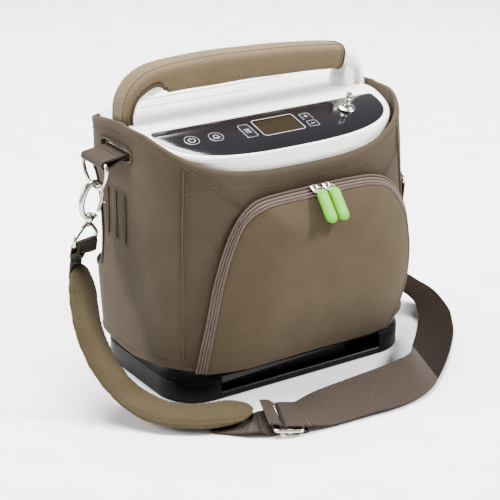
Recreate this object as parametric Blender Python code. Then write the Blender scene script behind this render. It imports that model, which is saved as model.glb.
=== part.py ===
"""Portable oxygen concentrator in its carry case, with its shoulder strap.

Metres, +Z up. The origin is the middle of the base's underside, the front with the pocket
faces -Y, and the control panel is on top. Each sub-part is one closed solid.
"""
import math

import bmesh
import bpy
from mathutils import Matrix, Vector

for leftover in list(bpy.data.objects):
    bpy.data.objects.remove(leftover, do_unlink=True)

# ---------------------------------------------------------------- driving dimensions
GAP = 0.0003                 # gap kept between pieces that touch

BASE_WIDTH = 0.254           # black foot frame, X
BASE_DEPTH = 0.153           # black foot frame, Y
BASE_CORNER = 0.0376
BASE_WALL_TOP = 0.0200       # the upright wall ends here and a bevel starts
BASE_TOP = 0.0400
FLOOR_PLATE = 0.0040
BAY_HALF_WIDTH = 0.1140      # battery bay
BAY_FRONT = -0.0600
BAY_TOP = 0.0372

CASE_HALF_WIDTH = 0.1322     # padded carry case
CASE_HALF_DEPTH = 0.0816
CASE_WALL = 0.0032
CASE_BACK_POWER = 7.0        # squareness of the back corners
HEM_HEIGHT = 0.0245
RIM_HEIGHT = 0.2182          # top edge at the middle of the front

HOUSING_HALF_WIDTH = 0.1265
HOUSING_HALF_DEPTH = 0.0758
HOUSING_WALL = 0.0025
HOUSING_BOTTOM = 0.0405
HOUSING_TOP = 0.2060
HOUSING_SPLIT = -0.0120      # Y of the joint between the front and rear halves

PLATEAU = 0.2327             # flat top of the white cover
PANEL_HINGE_Y = -0.0153      # where the plateau turns down into the control panel
PANEL_SLOPE = 0.2694
PANEL_HALF_WIDTH = 0.1165
PANEL_FRONT_Y = -0.0715
PANEL_THICK = 0.0016
RECESS_DEPTH = 0.0020

SLOT_Y = 0.0145              # strap slot in each side of the case
SLOT_Z = 0.2125
WEBBING_WIDTH = 0.0380
WEBBING_THICK = 0.0020
PAD_WIDTH = 0.0440
PAD_THICK = 0.0100
RING_WIRE = 0.0017

VENT_YS = (0.0010, 0.0170, 0.0315)
VENT_LOW = 0.1305
VENT_HIGH = 0.1750
VENT_WIDTH = 0.0040

# ---------------------------------------------------------------- materials
PALETTE = {
    "tan_neoprene": ((0.265, 0.205, 0.135), 0.85, 0.0),
    "brown_webbing": ((0.115, 0.085, 0.062), 0.80, 0.0),
    "brown_zipper": ((0.090, 0.065, 0.052), 0.60, 0.0),
    "green_rubber": ((0.260, 0.500, 0.030), 0.45, 0.0),
    "white_plastic": ((0.780, 0.780, 0.770), 0.25, 0.0),
    "panel_plastic": ((0.030, 0.028, 0.036), 0.12, 0.0),
    "button_plastic": ((0.040, 0.038, 0.046), 0.20, 0.0),
    "lcd_glass": ((0.030, 0.024, 0.012), 0.08, 0.0),
    "nickel": ((0.620, 0.600, 0.550), 0.25, 1.0),
    "black_plastic": ((0.018, 0.018, 0.020), 0.45, 0.0),
    "grey_plastic": ((0.250, 0.260, 0.260), 0.40, 0.0),
    "foam": ((0.050, 0.050, 0.050), 0.95, 0.0),
    "rubber": ((0.020, 0.020, 0.020), 0.80, 0.0),
    "aluminium": ((0.600, 0.610, 0.620), 0.35, 1.0),
    "circuit_board": ((0.020, 0.120, 0.050), 0.45, 0.0),
    "cell_wrap": ((0.080, 0.200, 0.420), 0.40, 0.0),
}


def material(name):
    """The shared Principled material of that name."""
    found = bpy.data.materials.get(name)
    if found:
        return found
    color, roughness, metallic = PALETTE[name]
    made = bpy.data.materials.new(name)
    made.use_nodes = True
    shader = made.node_tree.nodes["Principled BSDF"]
    shader.inputs["Base Color"].default_value = (*color, 1.0)
    shader.inputs["Roughness"].default_value = roughness
    shader.inputs["Metallic"].default_value = metallic
    return made


# ---------------------------------------------------------------- modelling helpers
def add_object(name, bm, look, origin=(0.0, 0.0, 0.0), smooth_angle=35.0):
    """Turn a bmesh in row coordinates into an object whose origin is at origin."""
    bmesh.ops.remove_doubles(bm, verts=bm.verts, dist=1e-6)
    bmesh.ops.recalc_face_normals(bm, faces=bm.faces)
    bmesh.ops.translate(bm, verts=bm.verts, vec=-Vector(origin))
    mesh = bpy.data.meshes.new(name)
    bm.to_mesh(mesh)
    bm.free()
    mesh.shade_smooth()
    mesh.set_sharp_from_angle(angle=math.radians(smooth_angle))
    mesh.materials.append(material(look))
    made = bpy.data.objects.new(name, mesh)
    made.location = origin
    bpy.context.collection.objects.link(made)
    return made


def combine(target, tool, operation):
    """Apply one exact Boolean and delete its tool."""
    step = target.modifiers.new("combine", "BOOLEAN")
    step.object = tool
    step.operation = operation
    step.solver = "EXACT"
    bpy.context.view_layer.update()
    graph = bpy.context.evaluated_depsgraph_get()
    result = bpy.data.meshes.new_from_object(target.evaluated_get(graph))
    target.modifiers.clear()
    target.data = result
    bpy.data.objects.remove(tool, do_unlink=True)
    return target


def cut(target, *tools):
    for tool in tools:
        combine(target, tool, "DIFFERENCE")
    return target


def join(target, *tools):
    for tool in tools:
        combine(target, tool, "UNION")
    return target


def loft(rings, closed=False):
    """Skin equal rings of points; closed joins the last ring to the first."""
    bm = bmesh.new()
    rows = [[bm.verts.new(point) for point in ring] for ring in rings]
    count = len(rows[0])
    pairs = list(zip(rows, rows[1:]))
    if closed:
        pairs.append((rows[-1], rows[0]))
    for low, high in pairs:
        for i in range(count):
            j = (i + 1) % count
            bm.faces.new((low[i], low[j], high[j], high[i]))
    if not closed:
        bm.faces.new(list(reversed(rows[0])))
        bm.faces.new(rows[-1])
    return bm


def box_mesh(low, high, bevel=0.0):
    bm = bmesh.new()
    bmesh.ops.create_cube(bm, size=1.0)
    size = [b - a for a, b in zip(low, high)]
    middle = [(a + b) / 2 for a, b in zip(low, high)]
    bmesh.ops.scale(bm, verts=bm.verts, vec=size)
    bmesh.ops.translate(bm, verts=bm.verts, vec=middle)
    if bevel:
        bmesh.ops.bevel(bm, geom=bm.edges, offset=bevel, segments=1, affect="EDGES")
    return bm


def box(name, low, high, look="black_plastic", bevel=0.0, origin=(0.0, 0.0, 0.0)):
    return add_object(name, box_mesh(low, high, bevel), look, origin)


def frame_on(axis):
    """Rotation that takes +Z to the given axis."""
    return Vector((0, 0, 1)).rotation_difference(Vector(axis)).to_matrix()


def turned(profile, centre, axis, count=20, hollow=False):
    """Revolve (radius, height) points about an axis; hollow profiles are closed loops."""
    turn = frame_on(axis)
    rings = []
    for radius, height in profile:
        ring = []
        for i in range(count):
            angle = 2 * math.pi * i / count
            local = Vector((radius * math.cos(angle), radius * math.sin(angle), height))
            ring.append(Vector(centre) + turn @ local)
        rings.append(ring)
    return loft(rings, closed=hollow)


def cylinder(name, centre, axis, radius, length, look, count=20, bore=0.0, origin=(0.0, 0.0, 0.0)):
    """Solid or bored cylinder that starts at centre and runs along axis."""
    if bore:
        profile = [(radius, 0), (radius, length), (bore, length), (bore, 0)]
    else:
        profile = [(radius, 0), (radius, length)]
    return add_object(name, turned(profile, centre, axis, count, bool(bore)), look, origin)


def smooth_path(points, per_span=6):
    """Catmull-Rom curve through the points, as a list of Vectors."""
    knots = [Vector(p) for p in points]
    knots = [2 * knots[0] - knots[1], *knots, 2 * knots[-1] - knots[-2]]
    path = []
    for a, b, c, d in zip(knots, knots[1:], knots[2:], knots[3:]):
        for step in range(per_span):
            t = step / per_span
            path.append(0.5 * (2 * b + (c - a) * t + (2 * a - 5 * b + 4 * c - d) * t ** 2
                               + (3 * b - a - 3 * c + d) * t ** 3))
    path.append(knots[-2])
    return path


def tangents(path):
    ahead = [*path[1:], path[-1]]
    behind = [path[0], *path[:-1]]
    return [(b - a).normalized() for a, b in zip(behind, ahead)]


def smooth_stations(stations, per_span=4):
    """Smooth a list of (centre, width direction) pairs."""
    path = smooth_path([s[0] for s in stations], per_span)
    return list(zip(path, smooth_path([s[1] for s in stations], per_span)))


def ribbon(stations, sections):
    """Sweep a section along stations of (centre, width direction).

    sections(t) gives the section's (across, through) points at the fraction t of the path.
    """
    path = [s[0] for s in stations]
    rings = []
    for i, ((point, width), along) in enumerate(zip(stations, tangents(path))):
        width = (width - along * width.dot(along)).normalized()
        through = along.cross(width)
        rings.append([point + width * u + through * v for u, v in sections(i / (len(path) - 1))])
    return loft(rings)


def wire(points, radius, count=8, closed=False, side=(0, 1, 0)):
    """Round tube along the points; side is a direction never parallel to them."""
    path = [Vector(p) for p in points]
    if closed:
        ahead = [*path[1:], path[0]]
        behind = [path[-1], *path[:-1]]
        along = [(b - a).normalized() for a, b in zip(behind, ahead)]
    else:
        along = tangents(path)
    rings = []
    for point, direction in zip(path, along):
        u = Vector(side)
        u = (u - direction * u.dot(direction)).normalized()
        v = direction.cross(u)
        rings.append([point + radius * (u * math.cos(2 * math.pi * k / count)
                                        + v * math.sin(2 * math.pi * k / count))
                      for k in range(count)])
    return loft(rings, closed)


def rounded_plan(half_width, half_depth, corner, z, per_corner=6):
    """Rectangle with round corners, counter-clockwise from the right side."""
    ring = []
    for quarter, (sx, sy) in enumerate(((1, 1), (-1, 1), (-1, -1), (1, -1))):
        for step in range(per_corner + 1):
            angle = math.pi / 2 * (quarter + step / per_corner)
            ring.append(Vector((sx * (half_width - corner) + corner * math.cos(angle),
                                sy * (half_depth - corner) + corner * math.sin(angle), z)))
    return ring


def super_plan(half_width, half_depth, front_power, back_power, z, count=56):
    """Superellipse plan with its own squareness in front and behind; z may be a function."""
    ring = []
    for i in range(count):
        angle = 2 * math.pi * i / count
        c, s = math.cos(angle), math.sin(angle)
        power = back_power if s > 0 else front_power
        x = math.copysign(half_width * abs(c) ** (2 / power), c)
        y = math.copysign(half_depth * abs(s) ** (2 / power), s)
        ring.append(Vector((x, y, z(x, y) if callable(z) else z)))
    return ring


# ---------------------------------------------------------------- shapes shared by sub-parts
def case_dims(z):
    """Half width, half depth and front squareness of the case at a height."""
    rise = min(max((z - 0.03) / 0.19, 0.0), 1.0)
    swell = min(rise * 4, 1.0)
    return (CASE_HALF_WIDTH - 0.0022 * (1 - swell), CASE_HALF_DEPTH - 0.0026 * (1 - swell),
            5.5 - 2.4 * rise)


def hem_height(x, y):
    lift = 0.0155 if y < 0 else 0.0065
    return HEM_HEIGHT + lift * abs(x / CASE_HALF_WIDTH) ** 3 * abs(y / CASE_HALF_DEPTH)


def rim_height(x, y):
    front = RIM_HEIGHT + 0.0105 * (abs(x) / 0.1) ** 2.2
    side = 0.2386 - (1.55 if y > -0.012 else 8.0) * (y + 0.012) ** 2
    return min(front, side) if y < 0 else side


def case_front_y(x, z):
    half_width, half_depth, power = case_dims(z)
    return -half_depth * max(1 - abs(x / half_width) ** power, 0.0) ** (1 / power)


def panel_z(y, height=0.0):
    """Height of the sloping top at y, raised by height along its normal."""
    return PLATEAU + (y - PANEL_HINGE_Y) * PANEL_SLOPE + height * math.hypot(1, PANEL_SLOPE)


PANEL_NORMAL = Vector((0, -PANEL_SLOPE, 1)).normalized()
PANEL_UP = Vector((0, 1, PANEL_SLOPE)).normalized()


def on_panel(x, y, height=0.0):
    return Vector((x, y, panel_z(y))) + PANEL_NORMAL * height


# ---------------------------------------------------------------- base and battery
def build_base():
    """Foot frame: upright wall, bevel and lip, with the battery bay open at the back."""
    half_w, half_d = BASE_WIDTH / 2, BASE_DEPTH / 2
    levels = ((0.0, 0.0012), (0.0012, 0.0), (BASE_WALL_TOP, 0.0), (0.0240, 0.0030), (BASE_TOP, 0.0045))
    rings = [rounded_plan(half_w - inset, half_d - inset, BASE_CORNER - inset, z) for z, inset in levels]
    base = add_object("base_frame", loft(rings), "black_plastic")
    bay = box("bay", (-BAY_HALF_WIDTH, BAY_FRONT, FLOOR_PLATE), (BAY_HALF_WIDTH, 0.1, BAY_TOP))
    grip = box("grip", (-0.0640, -0.1, 0.0075), (0.0990, -0.0690, 0.0195))
    well = box("well", (0.0640, -0.1, 0.0085), (0.0970, -0.0640, 0.0190))
    window = box("window", (-0.1, -0.048, 0.03), (0.1, 0.062, 0.05))
    return cut(base, bay, grip, well, window)


def build_battery():
    """Battery pack that slides out of the back of the base."""
    side = BAY_HALF_WIDTH - GAP
    low, top = FLOOR_PLATE + GAP, BAY_TOP - GAP
    front, back = BAY_FRONT + GAP, 0.0745
    lid_z = 0.0320
    tray = box("battery_case", (-side, front, low), (side, back, lid_z), bevel=0.001)
    cut(tray, box("hollow", (-side + 0.003, front + 0.003, low + 0.0025), (side - 0.003, back - 0.006, 0.05)))
    cut(tray, box("finger", (-0.030, back - 0.004, 0.009), (0.030, 0.1, 0.019)))
    cut(tray, box("notch", (-0.012, back - 0.013, lid_z - 0.0078), (0.012, back - 0.003, 0.06)))
    lid = box("battery_lid", (-side, front, lid_z + GAP), (side, back, top), bevel=0.001)
    cut(lid, box("notch", (-0.012, back - 0.013, lid_z - 0.01), (0.012, back - 0.003, 0.06)))
    cell_radius = 0.0090
    cells = 11
    pitch = 0.0195
    for row, x_side in enumerate((-1, 1)):
        width = pitch * (cells // 2)
        box(f"cell_pack_{'left' if x_side < 0 else 'right'}",
            (x_side * 0.053 - width / 2, front + 0.006, low + 0.0035),
            (x_side * 0.053 + width / 2, back - 0.022, low + 0.0035 + 2 * cell_radius),
            "cell_wrap", bevel=0.003)
    box("battery_board", (-0.100, back - 0.0205, low + 0.004), (0.100, back - 0.0185, lid_z - 0.003),
        "circuit_board")
    box("battery_connector", (-0.020, -0.0455, BAY_TOP + 0.0004),
        (0.020, -0.0340, BAY_TOP + 0.0110), "grey_plastic")
    box("battery_latch", (-0.0115, back - 0.0125, lid_z - 0.0045), (0.0115, back - 0.0035, top - 0.0005),
        "grey_plastic", bevel=0.0008)


# ---------------------------------------------------------------- device housings and inside
def housing_half(name, keep_front):
    """One half of the upright white housing: a bent wall, open above and below."""
    outer_low = super_plan(HOUSING_HALF_WIDTH, HOUSING_HALF_DEPTH, 3.3, 7.0, HOUSING_BOTTOM, 40)
    outer_high = super_plan(HOUSING_HALF_WIDTH, HOUSING_HALF_DEPTH, 3.3, 7.0, HOUSING_TOP, 40)
    inner_w, inner_d = HOUSING_HALF_WIDTH - HOUSING_WALL, HOUSING_HALF_DEPTH - HOUSING_WALL
    inner_high = super_plan(inner_w, inner_d, 3.3, 7.0, HOUSING_TOP, 40)
    inner_low = super_plan(inner_w, inner_d, 3.3, 7.0, HOUSING_BOTTOM, 40)
    wall = add_object(name, loft([outer_low, outer_high, inner_high, inner_low], closed=True), "white_plastic")
    if keep_front:
        cut(wall, box("rest", (-0.2, HOUSING_SPLIT - GAP / 2, 0), (0.2, 0.2, 0.3)))
    else:
        cut(wall, box("rest", (-0.2, -0.2, 0), (0.2, HOUSING_SPLIT + GAP / 2, 0.3)))
    return wall


def build_housings():
    housing_half("front_housing", True)
    rear = housing_half("rear_housing", False)
    for side in (-1, 1):
        low_x, high_x = sorted((side * 0.12, side * 0.13))
        cut(rear, box("window", (low_x, -0.0060, 0.1255), (high_x, 0.0385, 0.1800)))
    cut(rear, box("inlet_hole", (-0.1, 0.07, 0.10), (-0.072, 0.08, 0.128)))

    deck_rings = [super_plan(0.1212, 0.0712, 3.6, 6.0, z, 32) for z in (HOUSING_BOTTOM + 0.0002, 0.0440)]
    deck = add_object("chassis_plate", loft(deck_rings), "aluminium")
    cut(deck, box("slot", (-0.0205, -0.0460, 0.03), (0.0205, -0.0335, 0.06)))

    for side, label in ((-1, "intake_grille"), (1, "exhaust_grille")):
        low_x, high_x = sorted((side * 0.1242, side * 0.1262))
        grille = box(label, (low_x, -0.0057, 0.1258), (high_x, 0.0382, 0.1797), "black_plastic")
        cuts = [box("slit", (min(side * 0.12, side * 0.13), y - 0.0025, 0.129),
                    (max(side * 0.12, side * 0.13), y + 0.0025, 0.1765)) for y in VENT_YS]
        cut(grille, *cuts)
    box("intake_filter", (-0.1237, -0.0050, 0.1265), (-0.1157, 0.0375, 0.1790), "foam", bevel=0.0008)

    jack = box("power_inlet", (-0.0992, 0.0680, 0.1008), (-0.0728, 0.0762, 0.1272), "grey_plastic", bevel=0.0008)
    cut(jack, cylinder("socket", (-0.086, 0.0720, 0.114), (0, 1, 0), 0.0045, 0.02, "grey_plastic", 12))


def build_inside():
    """Compressor, sieve beds, tank, manifold, fan and boards inside the housing."""
    deck_top = 0.0443
    axis_z, axis_y = 0.0780, -0.0030
    bore = 0.0060
    crank = box("compressor_crankcase", (-0.0340, axis_y - 0.027, deck_top), (0.0040, axis_y + 0.027, 0.106),
                "aluminium", bevel=0.003)
    cut(crank, cylinder("bearing_bore", (-0.05, axis_y, axis_z), (1, 0, 0), bore + 0.0006, 0.08, "aluminium", 16))
    cylinder("compressor_motor", (0.0043, axis_y, axis_z), (1, 0, 0), 0.0270, 0.0500, "grey_plastic", 24,
             bore=bore + 0.0006)
    shaft = add_object("compressor_shaft",
                       turned([(0.0045, -0.0425), (0.0045, -0.0375), (bore, -0.0372), (bore, 0.0560),
                               (0.0040, 0.0563), (0.0040, 0.0640)], (0, axis_y, axis_z), (1, 0, 0), 16),
                       "nickel", origin=(0.0, axis_y, axis_z))
    join(shaft, box("weight", (-0.0430, axis_y - 0.004, axis_z - 0.016), (-0.0375, axis_y + 0.004, axis_z),
                    "nickel", origin=(0.0, axis_y, axis_z)))
    for label, y_low, y_high in (("cylinder_head_front", axis_y - 0.0520, axis_y - 0.0273),
                                 ("cylinder_head_rear", axis_y + 0.0273, axis_y + 0.0520)):
        head = box(label, (-0.0310, y_low, 0.0610), (0.0010, y_high, 0.0950), "aluminium", bevel=0.002)
        for fin in range(3):
            x = -0.0235 + fin * 0.0085
            cut(head, box("fin_gap", (x - 0.0012, y_low - 0.01, 0.0890), (x + 0.0012, y_high + 0.01, 0.12)))

    for label, x in (("sieve_bed_left", -0.0950), ("sieve_bed_right", -0.0620)):
        profile = [(0.0100, 0.0), (0.0148, 0.004), (0.0148, 0.146), (0.0100, 0.150)]
        add_object(label, turned(profile, (x, -0.040 if x < -0.07 else -0.046, deck_top + 0.0003), (0, 0, 1), 18),
                   "aluminium")
    add_object("product_tank", turned([(0.012, 0), (0.0180, 0.004), (0.0180, 0.080), (0.012, 0.084)],
                                      (-0.0900, 0.0220, deck_top + 0.0003), (0, 0, 1), 20), "white_plastic")
    manifold = box("valve_manifold", (-0.0400, -0.060, 0.1180), (0.0350, -0.038, 0.1480), "aluminium",
                   bevel=0.0015)
    for x in (-0.027, -0.009, 0.009, 0.027):
        join(manifold, cylinder("solenoid", (x - 0.001, -0.0380 - 0.002, 0.133), (0, 1, 0), 0.0070, 0.018,
                                "aluminium", 12))
    box("control_board", (-0.0500, 0.0660, 0.0600), (0.1000, 0.0678, 0.1900), "circuit_board")
    build_fan()


FAN_AXIS = (0.0150, 0.1520)      # Y and Z of the exhaust fan's axis


def build_fan():
    y, z = FAN_AXIS
    half = 0.0270
    frame = box("fan_frame", (0.1040, y - half, z - half), (0.1230, y + half, z + half), "black_plastic")
    cut(frame, cylinder("duct", (0.10, y, z), (1, 0, 0), 0.0250, 0.05, "black_plastic", 28))
    join(frame, box("strut", (0.1040, y - half + 0.001, z - 0.0015), (0.1062, y + half - 0.001, z + 0.0015)))
    join(frame, box("strut", (0.1040, y - 0.0015, z - half + 0.001), (0.1062, y + 0.0015, z + half - 0.001)))
    join(frame, cylinder("mount", (0.1040, y, z), (1, 0, 0), 0.0090, 0.0025, "black_plastic", 16))
    pivot = (0.1145, y, z)
    rotor = cylinder("fan_rotor", (0.1070, y, z), (1, 0, 0), 0.0090, 0.0140, "grey_plastic", 18, origin=pivot)
    blades = 7
    for i in range(blades):
        bm = box_mesh((-0.0050, -0.0006, 0.0070), (0.0050, 0.0006, 0.0235))
        bmesh.ops.rotate(bm, verts=bm.verts, cent=(0, 0, 0), matrix=Matrix.Rotation(math.radians(38), 3, "Z"))
        bmesh.ops.rotate(bm, verts=bm.verts, cent=(0, 0, 0),
                         matrix=Matrix.Rotation(2 * math.pi * i / blades, 3, "X"))
        bmesh.ops.translate(bm, verts=bm.verts, vec=pivot)
        join(rotor, add_object("blade", bm, "grey_plastic", origin=pivot))


# ---------------------------------------------------------------- white top cover and controls
def sloped_prism(outline, low, high):
    """Solid over an outline on the panel plane, from low to high along its normal."""
    return loft([[on_panel(x, y, h) for x, y in outline] for h in (low, high)])


def panel_outline(grow=0.0):
    """Control panel: a straight back edge and a bowed front with rounded ends."""
    points = []
    half = PANEL_HALF_WIDTH + grow
    depth = PANEL_HINGE_Y - PANEL_FRONT_Y + grow
    steps = 20
    for i in range(steps + 1):
        angle = math.pi * i / steps
        c, s = math.cos(angle), math.sin(angle)
        points.append((half * math.copysign(abs(c) ** (2 / 2.7), c),
                       PANEL_HINGE_Y - 0.004 - (depth - 0.004) * abs(s) ** (2 / 2.7)))
    back = PANEL_HINGE_Y + grow - 0.0004
    points += [(-half + 0.0012, back - 0.0015), (-half + 0.004, back), (half - 0.004, back),
               (half - 0.0012, back - 0.0015)]
    return points


def build_top():
    """White cover with the sloping panel recess; its underside is hollow."""
    low = HOUSING_TOP + GAP
    rings = [super_plan(HOUSING_HALF_WIDTH + grow, HOUSING_HALF_DEPTH + grow, 2.9, 7.0, z)
             for z, grow in ((low, 0.0), (0.2900, 0.0006))]
    cover = add_object("top_cover", loft(rings), "white_plastic")
    above = loft([[Vector((x, -0.2, panel_z(-0.2))), Vector((x, PANEL_HINGE_Y, PLATEAU)),
                   Vector((x, 0.2, PLATEAU)), Vector((x, 0.2, 0.32)), Vector((x, -0.2, 0.32))]
                  for x in (-0.2, 0.2)])
    cut(cover, add_object("above", above, "white_plastic"))
    cut(cover, add_object("recess", sloped_prism(panel_outline(), -RECESS_DEPTH, 0.02), "white_plastic"))
    inner = [super_plan(HOUSING_HALF_WIDTH - 0.003, HOUSING_HALF_DEPTH - 0.003, 2.9, 7.0, z, 40)
             for z in (0.19, 0.2105)]
    cut(cover, add_object("hollow", loft(inner), "white_plastic"))
    cut(cover, box("back_hollow", (-0.118, -0.004, 0.19), (0.118, 0.066, PLATEAU - 0.003)))
    cut(cover, box("groove", (-0.108, 0.0500, PLATEAU - 0.0006), (0.075, 0.0506, 0.3)))
    return cover


BUTTONS = (
    # name, centre x, centre y, half width, half depth, corner
    ("power_button", -0.0875, -0.0372, 0.0072, 0.0072, 0.0070),
    ("alert_button", -0.0643, -0.0384, 0.0072, 0.0072, 0.0070),
    ("menu_button", -0.0325, -0.0388, 0.0060, 0.0108, 0.0028),
    ("plus_button", 0.0315, -0.0334, 0.0055, 0.0052, 0.0022),
    ("minus_button", 0.0315, -0.0452, 0.0055, 0.0052, 0.0022),
)
LCD_CENTRE = (0.0, -0.0375)
LCD_HALF = (0.0205, 0.0118)
BARB_CENTRE = (0.0765, -0.0331)


def key_outline(centre_x, centre_y, half_w, half_d, corner, grow=0.0):
    ring = rounded_plan(half_w + grow, half_d + grow, corner + grow, 0.0, 3)
    stretch = 1 / math.hypot(1, PANEL_SLOPE)
    return [(centre_x + p.x, centre_y + p.y * stretch) for p in ring]


def build_panel():
    """Glossy panel with five push keys, a display window and the outlet fitting."""
    top = PANEL_THICK - RECESS_DEPTH
    panel = add_object("control_panel", sloped_prism(panel_outline(-GAP), -RECESS_DEPTH + GAP, top + 0.0002),
                       "panel_plastic")
    for name, x, y, half_w, half_d, corner in BUTTONS:
        hole = key_outline(x, y, half_w, half_d, corner, GAP)
        cut(panel, add_object("hole", sloped_prism(hole, top - 0.0011, 0.01), "panel_plastic"))
        key = key_outline(x, y, half_w, half_d, corner)
        add_object(name, sloped_prism(key, top - 0.0005, top + 0.0007), "button_plastic",
                   origin=on_panel(x, y, top))
    window = key_outline(*LCD_CENTRE, *LCD_HALF, 0.0020, GAP)
    cut(panel, add_object("hole", sloped_prism(window, top - 0.0010, 0.01), "panel_plastic"))
    glass = key_outline(*LCD_CENTRE, *LCD_HALF, 0.0020)
    add_object("lcd_display", sloped_prism(glass, top - 0.0007, top + 0.0003), "lcd_glass")
    foot = on_panel(*BARB_CENTRE, top + 0.0005)
    profile = [(0.0078, 0.0), (0.0078, 0.0014), (0.0048, 0.0026), (0.0026, 0.0062), (0.0026, 0.0090),
               (0.0031, 0.0100), (0.0026, 0.0112), (0.0026, 0.0130), (0.0031, 0.0140), (0.0024, 0.0158),
               (0.0013, 0.0158), (0.0013, 0.0020)]
    add_object("outlet_barb", turned(profile, foot, PANEL_NORMAL, 16), "nickel")


# handle path: x, z, half thickness and half width of the plastic bar, then of its padded wrap
HANDLE = (
    (-0.1215, 0.2330, 0.0030, 0.0108, 0.0060, 0.0142),
    (-0.1215, 0.2430, 0.0030, 0.0108, 0.0060, 0.0142),
    (-0.1175, 0.2550, 0.0040, 0.0108, 0.0075, 0.0142),
    (-0.1070, 0.2640, 0.0062, 0.0108, 0.0102, 0.0142),
    (-0.0920, 0.2682, 0.0085, 0.0110, 0.0125, 0.0145),
    (-0.0550, 0.2697, 0.0098, 0.0110, 0.0140, 0.0147),
    (0.0000, 0.2692, 0.0098, 0.0110, 0.0138, 0.0147),
    (0.0550, 0.2668, 0.0090, 0.0110, 0.0129, 0.0145),
    (0.0900, 0.2640, 0.0082, 0.0110, 0.0120, 0.0142),
    (0.1030, 0.2620, 0.0076, 0.0110, 0.0114, 0.0140),
    (0.1130, 0.2575, 0.0070, 0.0118, 0.0, 0.0),
    (0.1188, 0.2490, 0.0066, 0.0130, 0.0, 0.0),
    (0.1203, 0.2400, 0.0062, 0.0138, 0.0, 0.0),
    (0.1203, 0.2330, 0.0062, 0.0140, 0.0, 0.0),
)
HANDLE_Y = 0.0193
WRAPPED = 10                 # the first stations carry the padded wrap


def handle_rings(rows, thick_column, count, grow=0.0):
    """Rings of a superellipse section along the handle, in the XZ plane."""
    path = smooth_path([(row[0], HANDLE_Y, row[1]) for row in rows], 3)
    sizes = smooth_path([(row[thick_column], row[thick_column + 1], 0) for row in rows], 3)
    rings = []
    for point, along, size in zip(path, tangents(path), sizes):
        side = Vector((0, 1, 0))
        out = along.cross(side)
        ring = []
        for k in range(count):
            angle = 2 * math.pi * (k + 0.5) / count
            c, s = math.cos(angle), math.sin(angle)
            ring.append(point + out * math.copysign((size.x + grow) * abs(c) ** 0.62, c)
                        + side * math.copysign((size.y + grow) * abs(s) ** 0.62, s))
        rings.append(ring)
    return rings


def build_handle():
    add_object("carry_handle", loft(handle_rings(HANDLE, 2, 12)), "white_plastic")
    outer = handle_rings(HANDLE[:WRAPPED], 4, 16)
    sleeve = add_object("handle_wrap", loft(outer), "tan_neoprene")
    inner = handle_rings(HANDLE, 2, 12, GAP)
    start, end = inner[0], inner[-1]
    inner = [[p + Vector((0, 0, -0.01)) for p in start], *inner, [p + Vector((0, 0, -0.01)) for p in end]]
    return cut(sleeve, add_object("bar_space", loft(inner), "tan_neoprene"))


# ---------------------------------------------------------------- carry case and pocket
def build_case():
    """Padded shell, open above and below, with strap slots, vent slots and a rear corner cut-out."""
    rows = 7
    outer, inner = [], []
    for wall, rings in ((0.0, outer), (CASE_WALL, inner)):
        for row in range(rows):
            rise = row / (rows - 1)
            half_w, half_d, power = case_dims(0.03 + 0.19 * rise)

            def height(x, y, rise=rise):
                low, high = hem_height(x, y), rim_height(x, y)
                return low + (high - low) * rise
            rings.append(super_plan(half_w - wall, half_d - wall, power, CASE_BACK_POWER, height))
    case = add_object("carry_case", loft(outer + inner[::-1], closed=True), "tan_neoprene")
    for side in (-1, 1):
        low_x, high_x = sorted((side * 0.120, side * 0.145))
        cut(case, box("strap_slot", (low_x, SLOT_Y - 0.0250, SLOT_Z - 0.0042),
                      (high_x, SLOT_Y + 0.0250, SLOT_Z + 0.0042)))
        for y in VENT_YS:
            cut(case, box("vent", (low_x, y - VENT_WIDTH / 2, VENT_LOW), (high_x, y + VENT_WIDTH / 2, VENT_HIGH)))
    opening = add_object("corner_opening",
                         loft([[Vector((x, y, z)) for y, z in
                                ((0.0480, 0.168), (0.0440, 0.135), (0.0470, 0.103), (0.0560, 0.092),
                                 (0.1100, 0.097), (0.1100, 0.186), (0.0600, 0.184))]
                               for x in (-0.150, -0.066)]), "tan_neoprene")
    cut(case, box("battery_door", (-0.1185, 0.0600, 0.0), (0.1185, 0.1000, 0.0390)))
    return cut(case, opening)


# edge of the pocket on the case front: x, z, step off the case, slant of the zipped gusset in degrees
POCKET_EDGE = (
    (-0.1090, 0.0310, 0.0022, 30), (-0.1045, 0.0550, 0.0025, 44), (-0.0985, 0.0850, 0.0030, 54),
    (-0.0925, 0.1120, 0.0030, 57), (-0.0835, 0.1400, 0.0030, 60), (-0.0730, 0.1620, 0.0030, 62),
    (-0.0610, 0.1755, 0.0030, 64), (-0.0450, 0.1815, 0.0030, 65), (0.0000, 0.1832, 0.0030, 66),
    (0.0400, 0.1832, 0.0030, 66), (0.0680, 0.1810, 0.0040, 62), (0.0860, 0.1740, 0.0060, 54),
    (0.0990, 0.1600, 0.0080, 48), (0.1085, 0.1400, 0.0105, 45), (0.1120, 0.1120, 0.0120, 45),
    (0.1105, 0.0850, 0.0110, 45), (0.1055, 0.0550, 0.0070, 42), (0.0985, 0.0310, 0.0030, 30),
)
POCKET_MIDDLE = (0.0100, 0.1120)
GUSSET = 0.0134              # width of the zipped gusset along its slope
POCKET_DEPTH = 0.0285
POCKET_BACK = 0.0012         # space between the pocket's back and the case
GROOVE = (0.0030, 0.0104)    # the zipper's seat, measured along the gusset


def pocket_stations():
    """Smooth list of (edge point, inward direction, inward length, step, slant) round the pocket."""
    edge = smooth_path([(x, 0.0, z) for x, z, _, _ in POCKET_EDGE], 2)
    shape = smooth_path([(step, slant, 0.0) for _, _, step, slant in POCKET_EDGE], 2)
    stations = []
    for point, form in zip(edge, shape):
        middle = Vector((POCKET_MIDDLE[0], 0.0, min(point.z, POCKET_MIDDLE[1])))
        reach = middle - point
        stations.append((point, reach.normalized(), reach.length, form.x, math.radians(form.y)))
    return stations


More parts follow.
